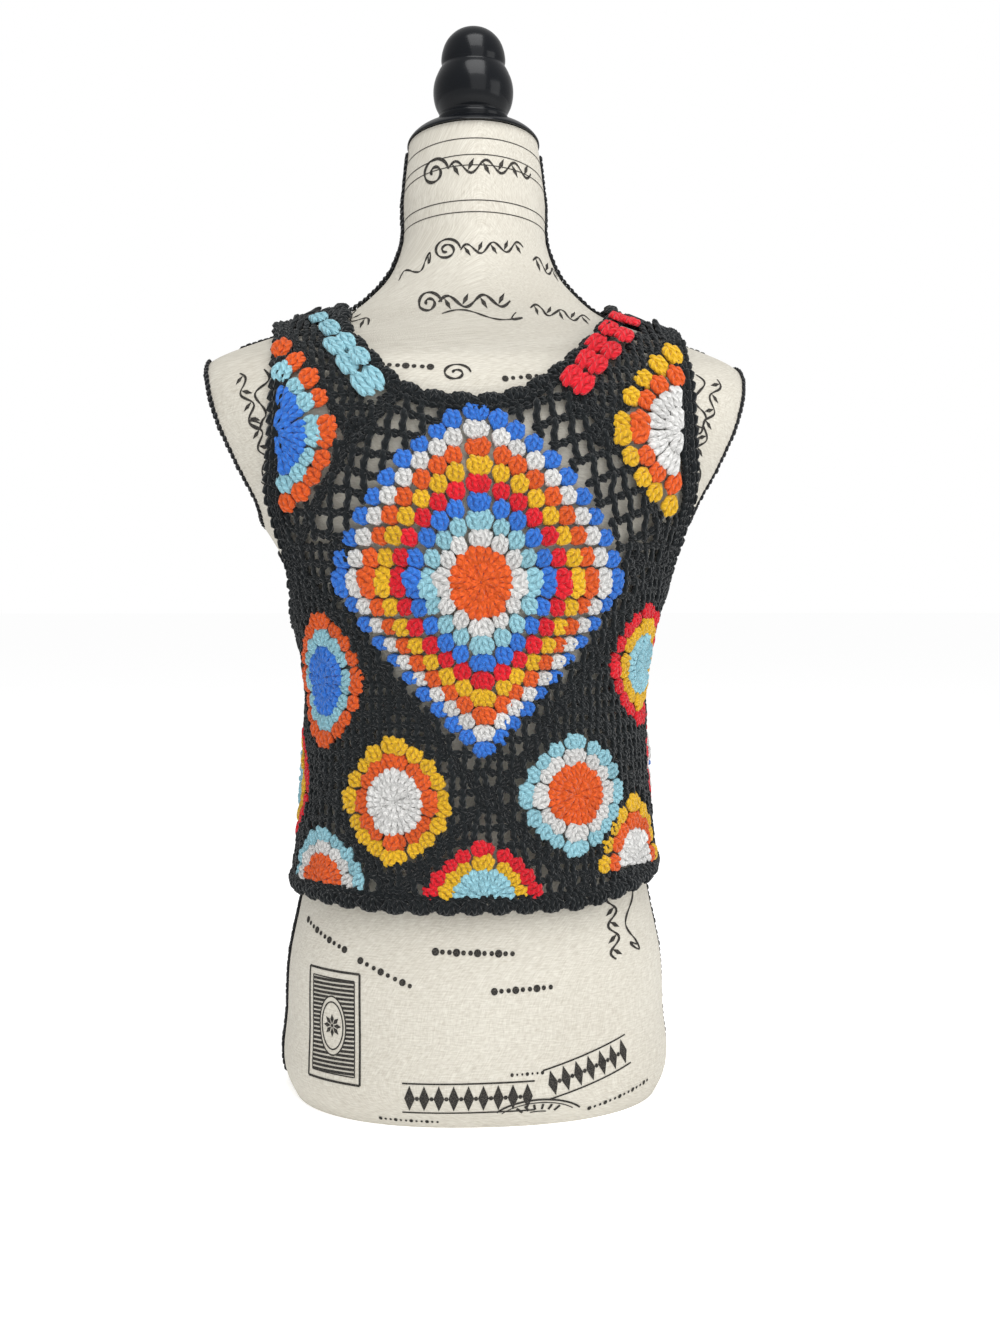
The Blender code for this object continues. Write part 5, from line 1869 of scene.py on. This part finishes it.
class FORM_OT_cap_and_finial(bpy.types.Operator):
    """The gloss black neck cap and the turned finial"""
    bl_idname = "dress_form.cap_and_finial"
    bl_label = "Neck cap and finial"

    def execute(self, context):
        lacquer = lacquer_finish(context.scene.form_look)
        dress_form_piece("lacquered_cap", cap_solid(), "neck_cap", lacquer, 50)
        dress_form_piece("lacquered_finial", finial_solid(), "finial", lacquer, 60)
        return {"FINISHED"}


class FORM_OT_braid(bpy.types.Operator):
    """The black braid on the side seams, the shoulders and round the armhole plates"""
    bl_idname = "dress_form.braid"
    bl_label = "Braid"

    def execute(self, context):
        colour = tuple(context.scene.form_look.braid)
        for side, end in ((-1, "left"), (1, "right")):
            lines = (("side_trim_", side_braid(side, 0.012, 0.384), 3, BRAID_SPREAD),
                     ("shoulder_trim_", side_braid(side, 0.526, 0.669), 3, BRAID_SPREAD),
                     ("plate_trim_", plate_braid(side), 1, 0.0))
            for seed, (name, (path, normals), rows, spread) in enumerate(lines, BRAID_SEED):
                stitches = Stitches(seed)
                braid_rows(stitches, path, normals, rows, spread, colour, 0.95 if rows > 1 else 1.05)
                made = worked(name + end, stitches, seed)["crochet"]
                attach(made, "root")
                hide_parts(name + end)
        return {"FINISHED"}


FLOOR_REACH = 40.0
SKY_LIGHT, SKY_SEEN = 0.54, 0.46        # the world's light on the object, and what the camera sees beside it
LIGHTS = (                  # name, place, size and power
    ("front_light", (0.30, -1.8, 1.25), 1.5, 9.0),
    ("right_light", (1.6, -0.9, 0.9), 1.0, 6.0),
    ("top_light", (0.1, -0.9, 2.1), 1.2, 26.0),
)
LIT_PLACE = Vector((0.0, 0.0, 0.36))


class STUDIO_OT_stage(bpy.types.Operator):
    """The floor, the lights and the camera"""
    bl_idname = "studio.stage"
    bl_label = "Stage"

    def execute(self, context):
        stage = context.scene.studio_stage
        points = [(x * FLOOR_REACH, y * FLOOR_REACH, 0.0) for x, y in ((-1, -1), (1, -1), (1, 1), (-1, 1))]
        floor = add_object("floor", mesh_of("floor", points, [(0, 1, 2, 3)]))
        floor.data.materials.append(floor_finish(stage))
        world = bpy.data.worlds.new("studio")
        world.use_nodes = True
        tree = Tree(world.node_tree)
        seen = Value(tree, tree.node("ShaderNodeLightPath").outputs["Is Camera Ray"])
        tree.plug(world.node_tree.nodes["Background"].inputs["Strength"], seen * SKY_SEEN + SKY_LIGHT)
        world.node_tree.nodes["Background"].inputs["Color"].default_value = (1.0, 1.0, 1.0, 1.0)
        context.scene.world = world
        for light in LIGHTS:
            add_light(*light)
        camera = bpy.data.cameras.new("camera")
        camera.lens = stage.lens
        camera.sensor_width = 36.0
        camera.shift_x = 0.0184
        camera.clip_start = 0.02
        holder = bpy.data.objects.new("camera", camera)
        away = stage.distance
        holder.location = (math.sin(stage.turn) * away, FORWARD - math.cos(stage.turn) * away, stage.camera_height)
        holder.rotation_euler = (math.pi / 2 - stage.pitch, 0.0, stage.turn)
        context.scene.collection.objects.link(holder)
        context.scene.camera = holder
        context.scene.view_settings.view_transform = "Standard"
        return {"FINISHED"}


def add_light(name, place, size, power):
    light = bpy.data.lights.new(name, "AREA")
    light.size = size
    light.energy = power
    holder = bpy.data.objects.new(name, light)
    holder.location = place
    holder.rotation_euler = (LIT_PLACE - Vector(place)).to_track_quat("-Z", "Y").to_euler()
    bpy.context.scene.collection.objects.link(holder)


OPERATORS = (
    FORM_OT_cover,
    FORM_OT_cap_and_finial,
    FORM_OT_braid,
    TOP_OT_centre_squares,
    TOP_OT_armhole_halves,
    TOP_OT_side_squares,
    TOP_OT_lower_squares,
    TOP_OT_hem_halves,
    TOP_OT_shoulder_pieces,
    TOP_OT_underarms,
    TOP_OT_edgings,
    STUDIO_OT_stage,
)


class TOP_PT_panel(bpy.types.Panel):
    """Lists the pieces and what may be changed"""
    bl_idname = "TOP_PT_panel"
    bl_label = "Crochet top"
    bl_space_type = "VIEW_3D"
    bl_region_type = "UI"
    bl_category = "Crochet top"

    def draw(self, context):
        for name in GROUPS:
            box = self.layout.box()
            for field in getattr(context.scene, name).__annotations__:
                box.prop(getattr(context.scene, name), field)
        for operator in OPERATORS:
            self.layout.operator(operator.bl_idname)


GROUPS = {"crochet_yarn": CrochetYarn, "form_look": FormLook, "studio_stage": StudioStage}


def register():
    for made in (*GROUPS.values(), *OPERATORS, TOP_PT_panel):
        bpy.utils.register_class(made)
    for name, group in GROUPS.items():
        setattr(bpy.types.Scene, name, PointerProperty(type=group))


def unregister():
    for name in GROUPS:
        delattr(bpy.types.Scene, name)
    for made in reversed((*GROUPS.values(), *OPERATORS, TOP_PT_panel)):
        bpy.utils.unregister_class(made)


def main():
    register()
    for operator in OPERATORS:
        category, name = operator.bl_idname.split(".")
        getattr(getattr(bpy.ops, category), name)()


if __name__ == "__main__":
    main()
